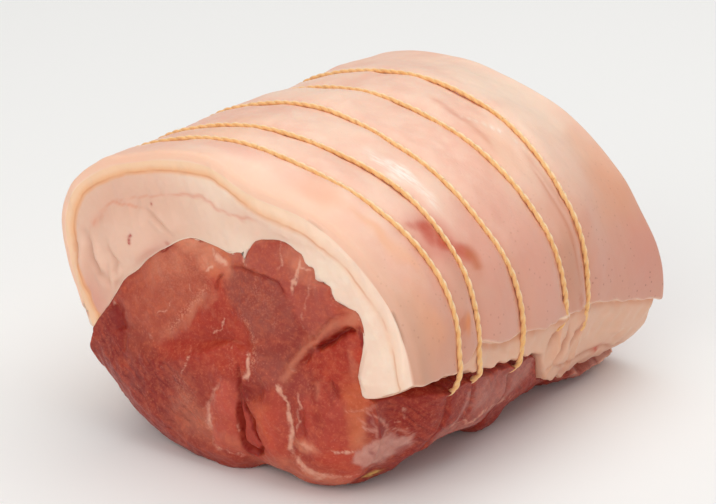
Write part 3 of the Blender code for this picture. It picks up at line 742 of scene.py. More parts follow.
def fatMesh():
    shell = Shell()
    along = alongPlaces(*fatCap["rings"])
    outside = fatColumns(along)
    ends = np.linspace(0, 1, fatCap["endColumns"] + 2)[1:-1]
    inner = np.linspace(1, 0, fatCap["innerColumns"])
    low, _, _, high = (v[:, None] for v in fatEnds(along))
    across = np.concatenate([outside, high + 0 * ends, low + (high - low) * inner, low + 0 * ends], 1)
    share = np.concatenate([0 * outside, ends + 0 * high, 1 + 0 * (low + inner), ends[::-1] + 0 * low], 1)
    ring = shell.points(across, share, along[:, None] + 0 * across, 0 * across)
    shell.grid(ring, closed=True)
    for line, place, side in ((ring[0], 0.0, 1.0), (ring[-1], jointLength, -1.0)):
        step = fatCap["faceStep"] if side > 0 else fatCap["backStep"]
        count = fatCap["faceColumns"] if side > 0 else fatCap["columns"]
        lowEnd, _, _, highEnd = fatEnds(np.array(place))
        span = highEnd - lowEnd
        columns = lowEnd + span * (np.arange(count) + 0.5) / count
        shares = np.linspace(0, 1, int(fatCap["faceDepth"] / step))[1:-1]
        shares = shares[:, None] + 0 * columns
        cut = shell.points(columns + 0 * shares, shares, place + 0 * shares, side + 0 * shares)
        shell.grid(cut)
        # the loop round the face and the end ring are matched by keys: 0..1 outside, 1..2 left end,
        # 2..3 inside, 3..4 right end
        first = 0 if side > 0 else -1
        keyRing = np.concatenate([(outside[first] - lowEnd) / span, 1 + ends, 2 + 1 - inner,
                                  3 + 1 - ends[::-1]])
        t, s = (columns - lowEnd) / span, shares[:, 0]
        loop = np.concatenate([cut[0], cut[1:, -1], cut[-1, -2::-1], cut[-2:0:-1, 0]])
        keyLoop = np.concatenate([t, 1 + s[1:], 2 + 1 - t[-2::-1], 3 + 1 - s[-2:0:-1]])
        shell.bridge(line, keyRing, loop, keyLoop, 4.0)
    return shell


def makeFatCap(material):
    shell = fatMesh()
    across, share, along, face = shell.coordinates()
    places, thick = fatSpot(across, share, along)
    low, skinLow, skinHigh, high = fatEnds(along)
    relief, swells, spans = fatCap["relief"], fatCap["waves"], fatCap["spans"]
    deep = share * thick                            # millimetres under the skin, on a cut face
    onSkin = (share == 0) & (face == 0)
    fromSkinEnd = np.minimum(across - skinLow, skinHigh - across)
    skinShare = onSkin * ease(fromSkinEnd, *spans["skinEdge"])
    ledge = onSkin * (1 - skinShare)
    below = -fromSkinEnd * markDegree
    u, v = across * markDegree, along               # millimetres over the skin

    def overSkin(key):
        wander = mixedWaves(places, swells["mark"])
        return drawn(u + wander, v + wander, rolledOut(skinMarks[key]))

    def skinCloud(key):
        blobs = [(strength, angle * markDegree, *rest) for strength, angle, *rest in skinClouds[key]]
        return skinShare * patches(u + mixedWaves(places, swells["cloudU"]),
                                   v + mixedWaves(places, swells["cloudV"]), blobs)

    def overLedge(key, fade=0.15):
        return ledge * drawn(u + mixedWaves(places, swells["ledgeU"]),
                             v + mixedWaves(places, swells["ledgeV"]), rolledOut(ledgeMarks[key]), fade)

    # slow swells of the skin, and folds of the fat under its cut edge
    scratch, amber = overSkin("scratch"), overSkin("amber")
    calm = 0.25 + 0.75 * ease(jointLength - along, *spans["calmBack"])
    swell = mixedWaves(places, swells["skin"]) * calm
    swell = swell - relief["scratch"] * scratch - relief["wrinkle"] * overSkin("wrinkle")
    swell = swell - relief["amber"] * amber
    furrows = overLedge("furrow", 0.2)
    folds = relief["ridge"] * overLedge("ridge", 0.3) - relief["furrow"] * furrows
    folds = folds + mixedWaves(places, swells["folds"])
    outward = np.stack([np.cos(np.radians(across)), 0 * across, np.sin(np.radians(across))], 1)
    places = places + outward * (skinShare * swell + ledge * folds)[:, None]
    # lumps, folds and cushions of the cut fat, which stands out at its low right end
    fronts = face > 0
    seenX, seenZ = seenOnCut(places)
    warp = mixedWaves(places, swells["cut"])
    fascia = drawn(seenX + warp, seenZ + warp, cutMarks["fascia"])
    leftFolds = drawn(seenX, seenZ, cutMarks["folds"], 0.4)
    cushions = patches(seenX, seenZ, cutMarks["cushions"])
    fromRimLine = deep - fatCap["rimLineDeep"] - mixedWaves(places, swells["rimLine"])
    rimLine = hill(fromRimLine, fatCap["rimLineHalf"])
    fromEnd = (across - low) * markDegree
    height = (face != 0) * (mixedWaves(places, swells["lumps"]) - relief["rimLine"] * rimLine)
    height = height + fronts * (relief["cushion"] * cushions - relief["fascia"] * fascia
                                - relief["folds"] * leftFolds)
    lowEnd = ease(fromEnd, *spans["lowEndIn"]) * ease(-fromEnd, *spans["lowEndOut"])
    height = height + fronts * relief["lowEnd"] * lowEnd
    inFace = ease(np.minimum(deep, (thick - deep) / 2), *spans["inFace"]) * (1 - 0.5 * hill(fromEnd, 3))
    places[:, 1] -= np.sign(face) * height * inFace
    # the left end tucks in behind the lean at the back
    tucked = ease(across - high, *spans["tuckAcross"]) * ease(along - jointLength, *spans["tuckAlong"])
    places[:, 1] -= relief["tuckedEnd"] * tucked
    values = {
        "skin": skinShare, "deep": deep * (face != 0), "cut": (face != 0).astype(float),
        "amber": amber * skinShare, "scratch": scratch * skinShare,
        # the cushions' share lightens their tops as a painted highlight, the folds' share darkens the folds
        # as painted shade
        "fascia": fascia * fronts, "folds": leftFolds * fronts, "cushion": cushions * fronts,
        "spots": drawn(seenX, seenZ, cutMarks["spots"], 0.05) * fronts,
        # the left of the cut fat, darkened as painted shade
        "greyedShade": patches(seenX, seenZ, cutMarks["greyedShade"]) * fronts,
        "rosyCut": patches(seenX, seenZ, cutMarks["rosy"]) * fronts,
        # beside the loops: painted warm contact shadow
        "loopShadow": (skinShare + 0.35 * ledge) * hill(fromLoop(along), fatCap["loopShadow"]),
        "front": skinShare * ease(-along, *spans["front"]),
        # the second share marks the skin low on the right, darkened there as painted shade
        "topLeft": ease(across, *spans["topLeft"]), "shadedLowRight": ease(-across, *spans["shadedLowRight"]),
        "lip": onSkin * hill(below, fatCap["lipHalf"]),
        # just under the skin's cut edge: painted shadow
        "shadowUnderEdge": onSkin * ease(below, *spans["recessIn"]) * ease(-below, *spans["recessOut"]),
        "furrow": furrows, "vessel": overLedge("vessel", 0.01), "rosyLedge": overLedge("rosy"),
        **{key: skinCloud(key) for key in skinClouds},
    }
    return makePiece("rindAndFat", places, shell.faces, material, "fat_cap", values)


# Marks on the fat under the skin's cut edge, as (angle, millimetres along)
ledgeMarks = {
    "ridge": [(1.0, 2.2, [(-7, 103), (-12, 103), (-17, 98), (-22, 92)]),
              (0.8, 2.0, [(-8, 115.5), (-13, 115.5), (-18, 110), (-24, 102)])],
    "furrow": [(0.9, 1.2, [(-6, 98.5), (-10, 98), (-14, 93)]),
               (1.0, 1.2, [(-9, 110), (-14, 110), (-18, 105), (-22, 98)]),
               (0.9, 1.2, [(-8, 120), (-13, 120), (-17, 117), (-20, 112)]),
               (0.9, 0.9, [(-33, 159), (-28, 142), (-26.5, 128), (-24.5, 113), (-21, 99)])],
    "rosy": [(0.6, 3.0, [(-34, 156), (-33, 140), (-31, 126), (-28, 112)]),
             (0.4, 2.0, [(-28, 144), (-26.5, 130), (-25, 118)])],
    "vessel": [(1.0, 1.7, [(-28, 140), (-28.4, 142)])],
}

# Marks on the cut fat, as (x, z) on the flat cut, in millimetres
cutMarks = {
    "fascia": [(0.9, 0.5, [(-68.4, 76.8), (-62.8, 85), (-58.5, 89.9), (-50.8, 89.8), (-44.4, 89.9)]),
               (0.5, 1.6, [(-67, 79), (-62, 85)]),
               (0.6, 0.4, [(-57.9, 90.5), (-53.4, 91.4), (-49, 92.9), (-44, 94.4), (-35.2, 96.5)]),
               (0.9, 0.55, [(-35.2, 96.5), (-28.4, 98.1), (-22.2, 98.6), (-16, 98), (-12.2, 96.7),
                            (-6.6, 95.2), (-1.6, 94.7), (4.4, 95.4)]),
               (0.5, 0.4, [(-12.2, 96.7), (-5.9, 95.1), (-0.3, 93.4)])],
    # cushions of the cut fat: strength, x, z, half sizes, lean in degrees; their lighter tops are a painted
    # highlight
    "cushions": [(1.0, -50, 78, 13, 10, 20), (0.8, -63, 66, 4, 9, 20), (0.7, -55, 62, 3.5, 8, 10),
                 (0.6, -71, 62, 2.5, 10, 10), (0.6, -36, 86, 8, 5, 10), (0.5, 20, 95, 22, 4, -12)],
    # folds pressed into the cut fat on the left, darkened as painted shade
    "folds": [(1.0, 1.6, [(-70.9, 75.7), (-67.8, 71.5), (-66.3, 66.4), (-63.2, 62.7), (-58.5, 60)]),
              (0.6, 1.1, [(-59.2, 75), (-58.4, 71.4), (-55.6, 67.6), (-55.2, 64.5), (-53.4, 60.5)]),
              (0.8, 1.3, [(-75.4, 72.1), (-73.9, 68), (-73.1, 63.9)]),
              (0.5, 1.0, [(-43.8, 89.9), (-37.3, 87), (-32.1, 83.4), (-30.7, 82)])],
    "spots": [(1.0, 0.55, [(-47.8, 80.3), (-48.7, 78.5), (-48.3, 76.5)]),
              (0.9, 0.45, [(-41.2, 92.6), (-40.8, 92.0)]), (0.4, 0.9, [(-34, 79.5), (-33, 78.5)])],
    # darker, greyer patches, most over the left of the cut fat: painted shade
    "greyedShade": [(0.9, -50, 84, 44, 26, 0), (0.9, -66, 58, 20, 26, 80), (0.5, -2, 94, 30, 8, 0)],
    "rosy": [(0.9, -70, 44, 14, 12, 70), (0.5, -38, 74, 8, 4, 40), (0.4, 56, 36, 6, 8, 0)],
}


def fatMaterial():
    pairs, noise = fatCap["pairs"], fatCap["noise"]
    place, mark, over, finish = newMaterial("rind and fat", fatCap["finish"], fatCap["tones"])
    cloud, fine, grain = (place.noise(*noise[key]) for key in ("cloud", "fine", "grain"))
    shadedLowRight, topLeft = mark("shadedLowRight"), mark("topLeft")
    # the skin, darker low on the right as painted shade with a pinker tone, faint bands there, and pores
    skin = cloud.between(0.35, 0.68).mixTones(pairs["skin"])
    skin = over(skin, "light", fine.between(0.4, 0.75))
    skin = over(skin, "shadedLowRight")
    bands = place.stretch(fatCap["bandStretch"]).noise(*noise["bands"])
    skin = over(skin, "bands", bands.between(0.5, 0.7) * shadedLowRight)
    # the dusky brown clouds among these are painted shade
    for key in ("rosy", "peach", "salmon", "cream", "duskyShade", "mauve"):
        skin = over(skin, key)
    # streaks for the painted highlight between the second and third loops
    streaks = place.stretch(fatCap["streakStretch"]).noise(*noise["streaks"])
    skin = over(skin, "pale", mark("pale") * streaks.between(0.3, 0.65, 0.2, 1.1))
    # the band by the front cut, darker towards the low right as painted shade
    skin = (mark("front") * 0.8).mix(skin, shadedLowRight.mixTones(pairs["front"]))
    skin = over(skin, "flush", mark("flush") * (0.65 + 0.5 * fine))
    for key in ("amber", "spot", "scratch"):
        skin = over(skin, key)
    pores = place.add("TexVoronoi", None, {"Vector": place, "Scale": 1 / (fatCap["poreSize"] * mm)})
    pore = pores.between(0.08, 0.22, 1.0, 0.0) * place.noise(*noise["pores"]).between(0.32, 0.52)
    skin = over(skin, "pore", pore * (0.32 * shadedLowRight + 0.42 * mark("mauve")))
    # the cut fat, with the rind's band and the thin lines under it
    fat = cloud.between(0.3, 0.7).mixTones(pairs["fat"])
    fat = over(fat, "lightFat", fine.between(0.45, 0.7))
    cut = fat
    # the left of the cut fat darkened as painted shade, and the cushions' tops lightened as a painted
    # highlight
    for key in ("greyedShade", "cushion", "rosyCut"):
        cut = over(cut, key)
    under = mark("deep") + (place.noise(*noise["wander"]) - 0.5) * 1.6
    cut = (under.between(5.0, 4.2) * 0.85).mix(cut, topLeft.mixTones(pairs["rind"]))
    line = under.between(1.6, 4.9) * under.between(6.6, 5.0)
    cut = over(cut, "rimLine", line * (0.2 + 0.40 * topLeft))
    thread = under.between(4.1, 4.6) * under.between(5.3, 4.8)
    cut = over(cut, "thread", thread * place.noise(*noise["thread"]).between(0.35, 0.65))
    # the folds are darkened as painted shade
    for key in ("fascia", "folds", "spots"):
        cut = over(cut, key)
    # the fat that shows under the skin's cut edge, darkened low on the right as painted shade, with painted
    # shadow just under the edge
    ledge = over(fat, "ledge", shadedLowRight)
    # one of these is painted shadow just under the skin's cut edge
    for key in ("rosyLedge", "furrow", "shadowUnderEdge", "vessel"):
        ledge = over(ledge, key)
    base = mark("cut").mix(ledge, cut)
    base = mark("skin").mix(base, skin)
    # a painted warm contact shadow beside the loops
    base = over(over(base, "lip"), "loopShadow")
    roughness = 0.42 + 0.16 * fine - 0.08 * cloud
    return finish(base, roughness, [(fine, 0.5, 0.35), (grain, 0.12, 0.5), (pore * -1, 0.12, 0.3)])


# The lean meat, in millimetres and degrees
lean = {
    "rings": (1.6, 0.55, 3.0),                     # their spacing, closer at a loop, and how near to it
    "topColumns": 60, "underColumns": 240, "cutColumns": 600, "cutStep": 0.55,
    "backColumns": 300, "backStep": 1.0, "faceRound": 58, "firstStep": 0.4, "tipShare": 0.02,
    "freeFrom": (192, 210), "freeTo": (-352, -330),    # angles between which no fat covers it
    "swellFront": 7.0, "swellBack": 4.0, "underFat": 0.35,
    "rollFront": 7.5, "rollBack": 7.5, "rollLength": 21.0, "rollStart": 0.78,
    "shelfLeft": 7.0, "shelfRight": 1.2,           # degrees over which the lean steps out of the fat
    "grooves": {"open": 1.5, "closed": 0.9, "closedDepth": 1.0}, "tongueDepth": 0.8,
    "spread": 1.15,                                # how much wider the lines are drawn
    "endCrowd": 0.012,                             # the underside's columns stand closer at its ends
    # where each mark or relief comes in: degrees, millimetres, or shares of the face's radius
    "spans": {"onCut": (2, 7), "inFace": (0, 0.03), "backRim": (0.85, 1), "behindFront": (0, 4),
              "freeLeft": (0, 3), "freeRight": (0, 2), "fromLoop": (-0.5, 3.0),
              "seenAlong": (-32, -24), "seenLow": (-90, -60), "seenHigh": (-30, 0)},
    # strands on the sides: how they slant, then height, spacing and shift of each set
    "slant": (1.15, 0.9), "strands": [(0.10, 3.4, 0.0), (0.07, 1.9, 1.3)],
    # the fibres' slant: in degrees low on the left of the cut, and along and round the sides
    "fibreSlant": -36, "sideFibres": (0.8, 0.6),
    # random swells: height, size, seed
    "waves": {"cut": [(0.45, 7, 31)], "lumps": [(0.30, 12, 32), (0.20, 5, 33), (0.07, 2.2, 34)],
              "slant": [(2.0, 14, 41)], "sides": [(0.5, 16, 42), (0.25, 6, 43)],
              "markX": [(0.5, 5, 51), (0.25, 1.8, 52)], "markZ": [(0.5, 4, 53), (0.2, 1.6, 54)],
              "fibre": [(1.2, 16, 55)], "cloud": [(2, 12, 56)]},
    # noise: size in millimetres, detail, roughness, distortion
    "noise": {"cloud": (14, 3, 0.55, 0.6), "mottle": (2.6, 2, 0.55, 0.3), "fine": (3.0, 3, 0.6, 0.4),
              "grain": (0.9, 3, 0.65), "fibre": (1.5, 3, 0.55), "fleck": (1.5, 4, 0.7, 0.8),
              "fleckClouds": (12, 1), "speck": (0.7, 2, 0.6)},
    "fibreStretch": (0.14, 1.0, 1.0),
    "finish": {"Subsurface Weight": 0.3, "Subsurface Radius": (1.0, 0.2, 0.12),
               "Subsurface Scale": 0.003, "Specular IOR Level": 0.22, "Coat Weight": 0.08,
               "Coat Roughness": 0.18},
    "sideTone": (142, 32, 18), "cutTone": (156, 60, 46),
    # tones laid one over another: strength and screen colour
    "tones": {
        "pink": (1.0, (220, 142, 112)), "ruby": (0.6, (204, 74, 46)), "amber": (0.65, (214, 108, 60)),
        "wine": (1.0, (118, 18, 14)), "clouded": (0.45, (150, 36, 22)), "mottled": (0.30, (208, 104, 70)),
        "grain": (0.34, (220, 124, 90)), "lightFibre": (0.4, (194, 78, 50)),
        # the pale band tone here is a painted highlight along the flap's edge
        "darkFibre": (0.5, (104, 16, 12)), "flapHighlight": (0.6, (202, 122, 94)), "orange": (0.6, (214, 112, 66)),
        # the palest tone here lightens the strip under the fat at the back, partly as painted light
        "speck": (0.6, (224, 156, 128)), "veil": (1.0, (212, 158, 144)), "paleHemAndLight": (1.0, (244, 196, 172)),
        "spots": (0.75, (140, 50, 48)), "net": (1.0, (218, 156, 138)), "white": (0.85, (228, 170, 146)),
        # the darkest red here is painted shade in the creases
        "yellow": (1.0, (224, 186, 104)), "tongue": (0.7, (172, 62, 48)), "creaseShadeAndSeams": (0.85, (134, 12, 8)),
    },
}

# The muscles of the cut face: tone, softness of the outline in millimetres, and outline as (x, z)
muscles = {
    # this one is darker partly as painted shade, where the cut face rounds away low on the left
    "lowLeft": ((144, 54, 44), 5.0, [(-64, 52), (-50, 45), (-47, 33), (-38, 39), (-30, 36), (-18, 33),
                                     (-14, 20), (-14, 8), (-5, 0), (-45, 0), (-70, 20)]),
    "eye": ((178, 86, 64), 3.0, [(-37, 75), (-26, 83), (-16, 83), (-8, 79), (-8, 75), (-14, 71),
                                 (-16, 65), (-25, 54), (-33, 45.5), (-38.5, 39), (-47, 32.5),
                                 (-50, 36), (-51, 45), (-55, 50), (-55, 54), (-50, 62)]),
    "deep": ((172, 56, 38), 4.5, [(-9.5, 74), (-7, 72), (-7.5, 64), (-1, 60), (3.4, 55), (5, 49), (4, 41),
                                  (-1.5, 35), (-11, 35.5), (-20, 35.7), (-30, 36.5), (-36.5, 39),
                                  (-30.5, 45), (-22, 55), (-16, 64.5), (-13.5, 70)]),
    "dull": ((152, 70, 58), 2.4, [(-6.5, 75.5), (5, 76.5), (13.5, 75.5), (19.5, 69), (23, 62), (25, 50),
                                  (19.5, 43), (15.5, 37), (10, 34.3), (5.3, 34), (5, 43.7), (6, 52),
                                  (3.4, 56), (-1, 60.4), (-7.5, 65), (-7, 72.4)]),
    "cap": ((172, 78, 64), 1.0, [(-6.5, 78.5), (-5, 84), (2, 92), (24, 92), (36, 84), (50, 74), (51, 68),
                                 (43, 69), (36, 65), (30, 59), (25, 62), (19.5, 70), (14, 76.3), (5, 77)]),
    "flap": ((164, 44, 26), 2.0, [(30, 52), (47, 64.5), (51, 61), (51.5, 46), (55, 42), (52.5, 37),
                                  (45.5, 36), (37, 44), (28, 48)]),
    "bulge": ((176, 66, 50), 2.0, [(27, 33), (33, 41), (38, 44), (46, 36), (53, 35), (54, 23), (48, 17),
                                   (35, 13), (27, 20)]),
    "inner": ((176, 70, 54), 2.0, [(9, 34), (17.5, 36), (21.5, 30), (24, 16), (21, 8), (13, 13), (9, 22)]),
    "strap": ((190, 82, 66), 1.6, [(-9, 34), (-1, 34), (0.2, 28), (0.6, 19), (3, 11), (9, 8.5), (0, 7.5),
                                   (-8, 8), (-10.5, 13), (-12.5, 20), (-11, 28)]),
    "amber": ((202, 98, 60), 2.5, [(43, 43), (54, 45.5), (56, 40), (52.5, 36.5), (46, 36)]),
    "membrane": ((202, 116, 84), 3.0, [(46.5, 35), (53, 37), (55, 24), (49, 22), (48, 28)]),
    "heel": ((186, 80, 62), 3.0, [(27, 12), (35, 9.5), (47, 12), (56, 17), (60, 12), (45, 3), (30, 3)]),
}

# Soft clouds of colour on the cut face: strength, x, z, half sizes, lean in degrees
cutClouds = {
    "pink": [(1.0, -20, 83, 17, 6, 0), (0.8, 40, 79, 12, 2.2, -38), (0.9, -12, 77, 9, 5, -25),
             (0.5, -34, 74, 12, 8, 45), (0.7, 6, 92, 9, 4, 0), (0.7, 24, 84, 9, 6, -30),
             (0.6, -23, 55, 16, 2.6, 50), (0.4, 25, 8, 16, 4, 0), (0.8, 36, 8, 14, 2.2, 5),
             (0.5, -3, 12, 6, 3, 0), (0.9, 30, 18, 5, 2.2, -10), (0.7, 48, 69, 6, 3.5, -35),
             (0.35, -20, 17, 13, 8, -40), (0.6, 35, 40, 4, 1.4, 60), (0.5, 48, 52, 7, 1.6, 95)],
    "ruby": [(0.8, 44, 66, 8, 3, -35), (0.8, 52, 58, 4, 8, 0), (0.7, 13, 20, 6, 14, 0),
             (0.8, 43, 15, 10, 6, 0), (0.4, 0, 44, 6, 8, 0), (0.6, -10, 70, 3, 8, -10),
             (0.6, 40, 48, 8, 7, 0)],
    # the patches near x -54 stand for the shade in the hollow under the left fat: painted shade; the rest
    # are darker red patches of the meat
    "wine": [(0.9, -54, 46, 7, 6, 80), (0.8, -46, 40, 10, 6, -40), (0.7, -38, 27, 12, 6, -45),
             (0.8, 5, 33, 9, 5, 0), (0.8, -54, 47, 5, 6, 0), (0.6, -57, 33, 5, 12, -20),
             (0.5, 24, 56, 5, 10, -25), (0.5, 22, 40, 5, 6, 0), (0.8, 33, 39, 6, 2, 65),
             (0.6, 40, 39, 6, 2, 80), (0.5, 33, 30, 4, 8, 0)],
    "amber": [(0.9, 50, 42, 6, 7, 0), (0.7, 50, 31, 4, 8, 0), (0.5, 10, 24, 2, 8, 0),
              (0.5, 46, 69, 8, 3, -35)],
}

# Lines that are both drawn on the cut face and pressed into it, as (x, z)
cutLines = {
    "pocketLeft": [(0.6, 28.2), (1, 22.9), (2.1, 18.8), (3.4, 12.6), (6, 10.6), (9.8, 9.9), (12.1, 13.2)],
    "pocketRight": [(1.9, 27.9), (4.6, 24.8), (6.6, 22.1), (8.1, 18.1), (11.4, 13.6)],
    "pocketTop": [(-0.4, 41.4), (-0.5, 37.6), (0.7, 33), (1.2, 29.4), (3.3, 26.1)],
    "pocketFold": [(11.4, 34.6), (7.2, 32.5), (1.8, 30.1)],
    "slit": [(48, 64.9), (44.1, 63.9), (40.2, 60.9), (35.7, 57.3), (31.7, 54.8)],
    "slitEnd": [(31.7, 54.8), (30, 52.8), (27, 48)],
    "slitAbove": [(43, 70.9), (37.4, 67), (29.7, 57.4)],
    "byFat": [(48.1, 66.4), (50, 64.2), (51.3, 61.9), (50.8, 59)],
    "eyeTopLeft": [(-37, 75), (-34.3, 77.3), (-30.6, 79.7)],
    "eyeTopRight": [(-23.9, 83.6), (-17.7, 83.8)],
    "capBorder": [(-5.3, 76.8), (2.4, 76.8), (9.3, 76.1), (14.5, 75.1), (18.5, 71)],
    "eyeNotch": [(-9.3, 72.9), (-11, 70.4), (-11.8, 66.5)],
    "lowSeam": [(21.4, 32.5), (22.4, 27.6), (23.8, 21.5), (23.4, 16.9), (24.7, 13.4)],
    "strapStreak": [(-7.7, 33.2), (-10.6, 27.6), (-12.5, 23.3)],
    "capSeamLeft": [(0.2, 84), (0, 80), (-0.2, 77.8)],
    "capSeam": [(23.2, 86), (22.5, 81.4), (21.5, 77.5), (20.6, 72.2)],
}

pocket = cutLines["pocketLeft"] + cutLines["pocketRight"][::-1]

# Strokes on the cut face, as (x, z): strength, half width in millimetres, line
leanMarks = {
    "white": [
        (1.0, 0.9, cutLines["capSeamLeft"]),
        (1.0, 0.75, cutLines["capSeam"]), (0.8, 0.6, [(22.8, 82.5), (28, 83)]),
        (0.6, 0.45, [(27.6, 78), (27, 70.7), (26.8, 66.3)]), (0.5, 0.4, [(14, 92), (15.5, 84), (14.6, 79)]),
        (0.6, 0.4, [(30, 81), (30.5, 76)]), (0.5, 0.35, [(36.8, 76), (37.4, 71)]),
        (1.0, 1.0, [(37.4, 78), (38.7, 75.5), (40.4, 73.6)]), (0.7, 0.6, [(-14.4, 82.2), (-13.4, 78.5)]),
        (1.0, 1.3, [(-13, 79.4), (-9.6, 77.8), (-7, 77)]), (0.9, 0.8, [(-16.3, 72.5), (-12.6, 76)]),
        (0.6, 0.3, [(-23, 66.7), (-22.3, 64.2), (-20.6, 62.9)]),
        (0.7, 0.35, [(-31.2, 59), (-30.7, 56.4), (-32.2, 54.4), (-35.9, 52), (-36.5, 50.8)]),
        (0.5, 0.3, [(-18.3, 78.3), (-17.9, 76.8)]), (0.4, 0.8, [(-40.7, 43.9), (-38.6, 42.1)]),
        (0.8, 0.35, [(-6.6, 57.6), (-6.8, 55.9), (-10, 52), (-11.8, 49.4)]),
        (0.5, 0.3, [(-3.6, 48.1), (-4.7, 45.2)]),
        (0.7, 0.35, [(-21.2, 43), (-21.6, 39.1), (-23.6, 34.3), (-25.9, 29.9)]),
        (1.0, 0.8, [(1.2, 45.8), (4.6, 46.2)]), (1.0, 0.95, [(4.2, 45), (3.9, 40.7), (3.3, 36)]),
        (0.55, 1.3, cutLines["strapStreak"]),
        (0.6, 1.9, [(-11.8, 25), (-12.5, 21), (-12, 17), (-10.8, 14)]),
        (0.9, 0.9, [(-12.2, 20), (-11, 15.5)]), (1.0, 0.8, [(-56.2, 53), (-55.6, 50.5)]),
        (0.5, 0.5, [(-10.3, 13), (-9.5, 8.2), (-5.7, 7.6), (0.6, 7.5), (9.2, 8.7)]),
        (0.8, 0.6, [(0.6, 19), (0.1, 16.1)]), (1.0, 1.1, [(16.4, 36.3), (18.6, 35.6)]),
        (0.9, 0.5, [(17.4, 36), (20.3, 33.5), (21.8, 30.1)]), (1.0, 1.15, cutLines["lowSeam"]),
        (0.8, 1.1, [(24.7, 13.6), (29.3, 10.1), (34.5, 8.5), (40.9, 8.9)]),
        (0.7, 0.6, [(24.7, 37.1), (26.8, 31.9), (26.4, 26.7), (26.2, 22.1)]),
        (0.6, 0.9, [(27.3, 18.9), (30.2, 18), (33.2, 17.5)]),
        (0.8, 0.4, [(38.8, 18.9), (41.9, 18.6), (46.6, 19.8), (50, 21.2), (50.7, 20.3)]),
        (0.5, 0.5, [(44.8, 36.3), (46.7, 34.7), (52.5, 37.2), (58.1, 41.1)]),
        (0.6, 0.7, [(34.7, 7.9), (44.9, 9.9), (55.3, 14.1)]), (0.7, 0.5, [(25.4, 62), (26, 60.6)]),
        (0.6, 0.35, [(24.8, 67), (25.6, 62.6)]), (0.7, 0.5, [(49.6, 70.6), (49.2, 69)]),
        (0.4, 0.35, [(21.6, 45), (24.5, 44.6)]),
    ],
    "speckled": [(0.9, 1.1, [(-0.6, 60), (2.1, 57.4), (5.4, 52.9), (6.3, 47.2), (6, 40)]),
                 (0.5, 0.8, [(5.3, 75), (6, 68.4)]), (0.4, 0.8, [(14, 62.8), (13.1, 57.3)]),
                 (0.8, 2.0, [(-13, 79), (-9, 79.5)]), (0.4, 1.5, [(-20, 76), (-15, 74)]),
                 (0.9, 1.5, [(-14.8, 70.6), (-15.8, 66.7), (-19.9, 61.5), (-25.2, 54.4), (-33, 45.6)]),
                 (0.3, 9.0, [(-38, 62), (-24, 72), (-16, 78)]), (0.25, 7.0, [(2, 68), (14, 66)]),
                 (0.35, 1.6, [(-3, 44), (-4, 38)]), (0.35, 3.0, [(-28, 32), (-20, 20)])],
    # a pale band along the flap's rolled edge, above the slit: painted highlight
    "flapHighlight": [(1.0, 1.7, [(49.5, 70.8), (44.4, 68.1), (38.2, 64.6), (33.1, 60.3), (29.2, 55.8),
                         (25.9, 51.3), (22, 45.6), (18.2, 38.3)])],
    "orange": [(0.8, 0.9, [(-15, 83.2), (-7.3, 80.4), (-5.9, 77.8)]), (0.5, 1.6, [(-10, 74.3), (-14, 72)]),
               (0.5, 0.7, [(-5.9, 77.8), (-0.9, 77.2), (5.2, 76.7), (10.7, 77.1)])],
    # dark red along the creases pressed into the cut: painted shade
    "creaseShadeAndSeams": [
        (1.0, 0.7, cutLines["pocketLeft"]),
        (0.9, 0.5, cutLines["pocketRight"]),
        (0.6, 0.55, cutLines["pocketTop"]),
        (0.5, 1.6, cutLines["pocketFold"]),
        (1.0, 0.8, cutLines["slit"]),
        (0.6, 0.6, cutLines["slitEnd"]), (0.5, 0.5, cutLines["slitAbove"]),
        (1.0, 0.9, cutLines["byFat"]),
        (1.0, 0.45, cutLines["eyeTopLeft"]), (0.8, 0.3, cutLines["eyeTopRight"]),
        (0.7, 0.6, cutLines["capBorder"]),
        (0.6, 0.35, cutLines["eyeNotch"]),
        (0.9, 2.0, [(-57.5, 51), (-54.5, 49.2), (-52, 47.5)]), (0.8, 3.2, [(-54, 48), (-52.6, 41)]),
        (0.5, 0.8, [(-51.4, 43), (-50.8, 34)]), (0.6, 0.6, [(-53.9, 35.3), (-56.3, 30.9), (-56.8, 26.4)]),
        (0.4, 0.5, [(25.2, 61.7), (27.2, 59), (28.5, 56.6)]), (0.4, 1.0, [(22, 65), (26.5, 58)]),
        (0.4, 0.8, [(39.4, 45.6), (40.7, 43.8), (41.5, 40.8), (42.9, 39)]),
        (0.5, 1.2, [(27.2, 30.4), (28.2, 24.8), (30.2, 22.1)]), (0.4, 1.6, [(39.9, 30.5), (39.5, 29)]),
    ],
}

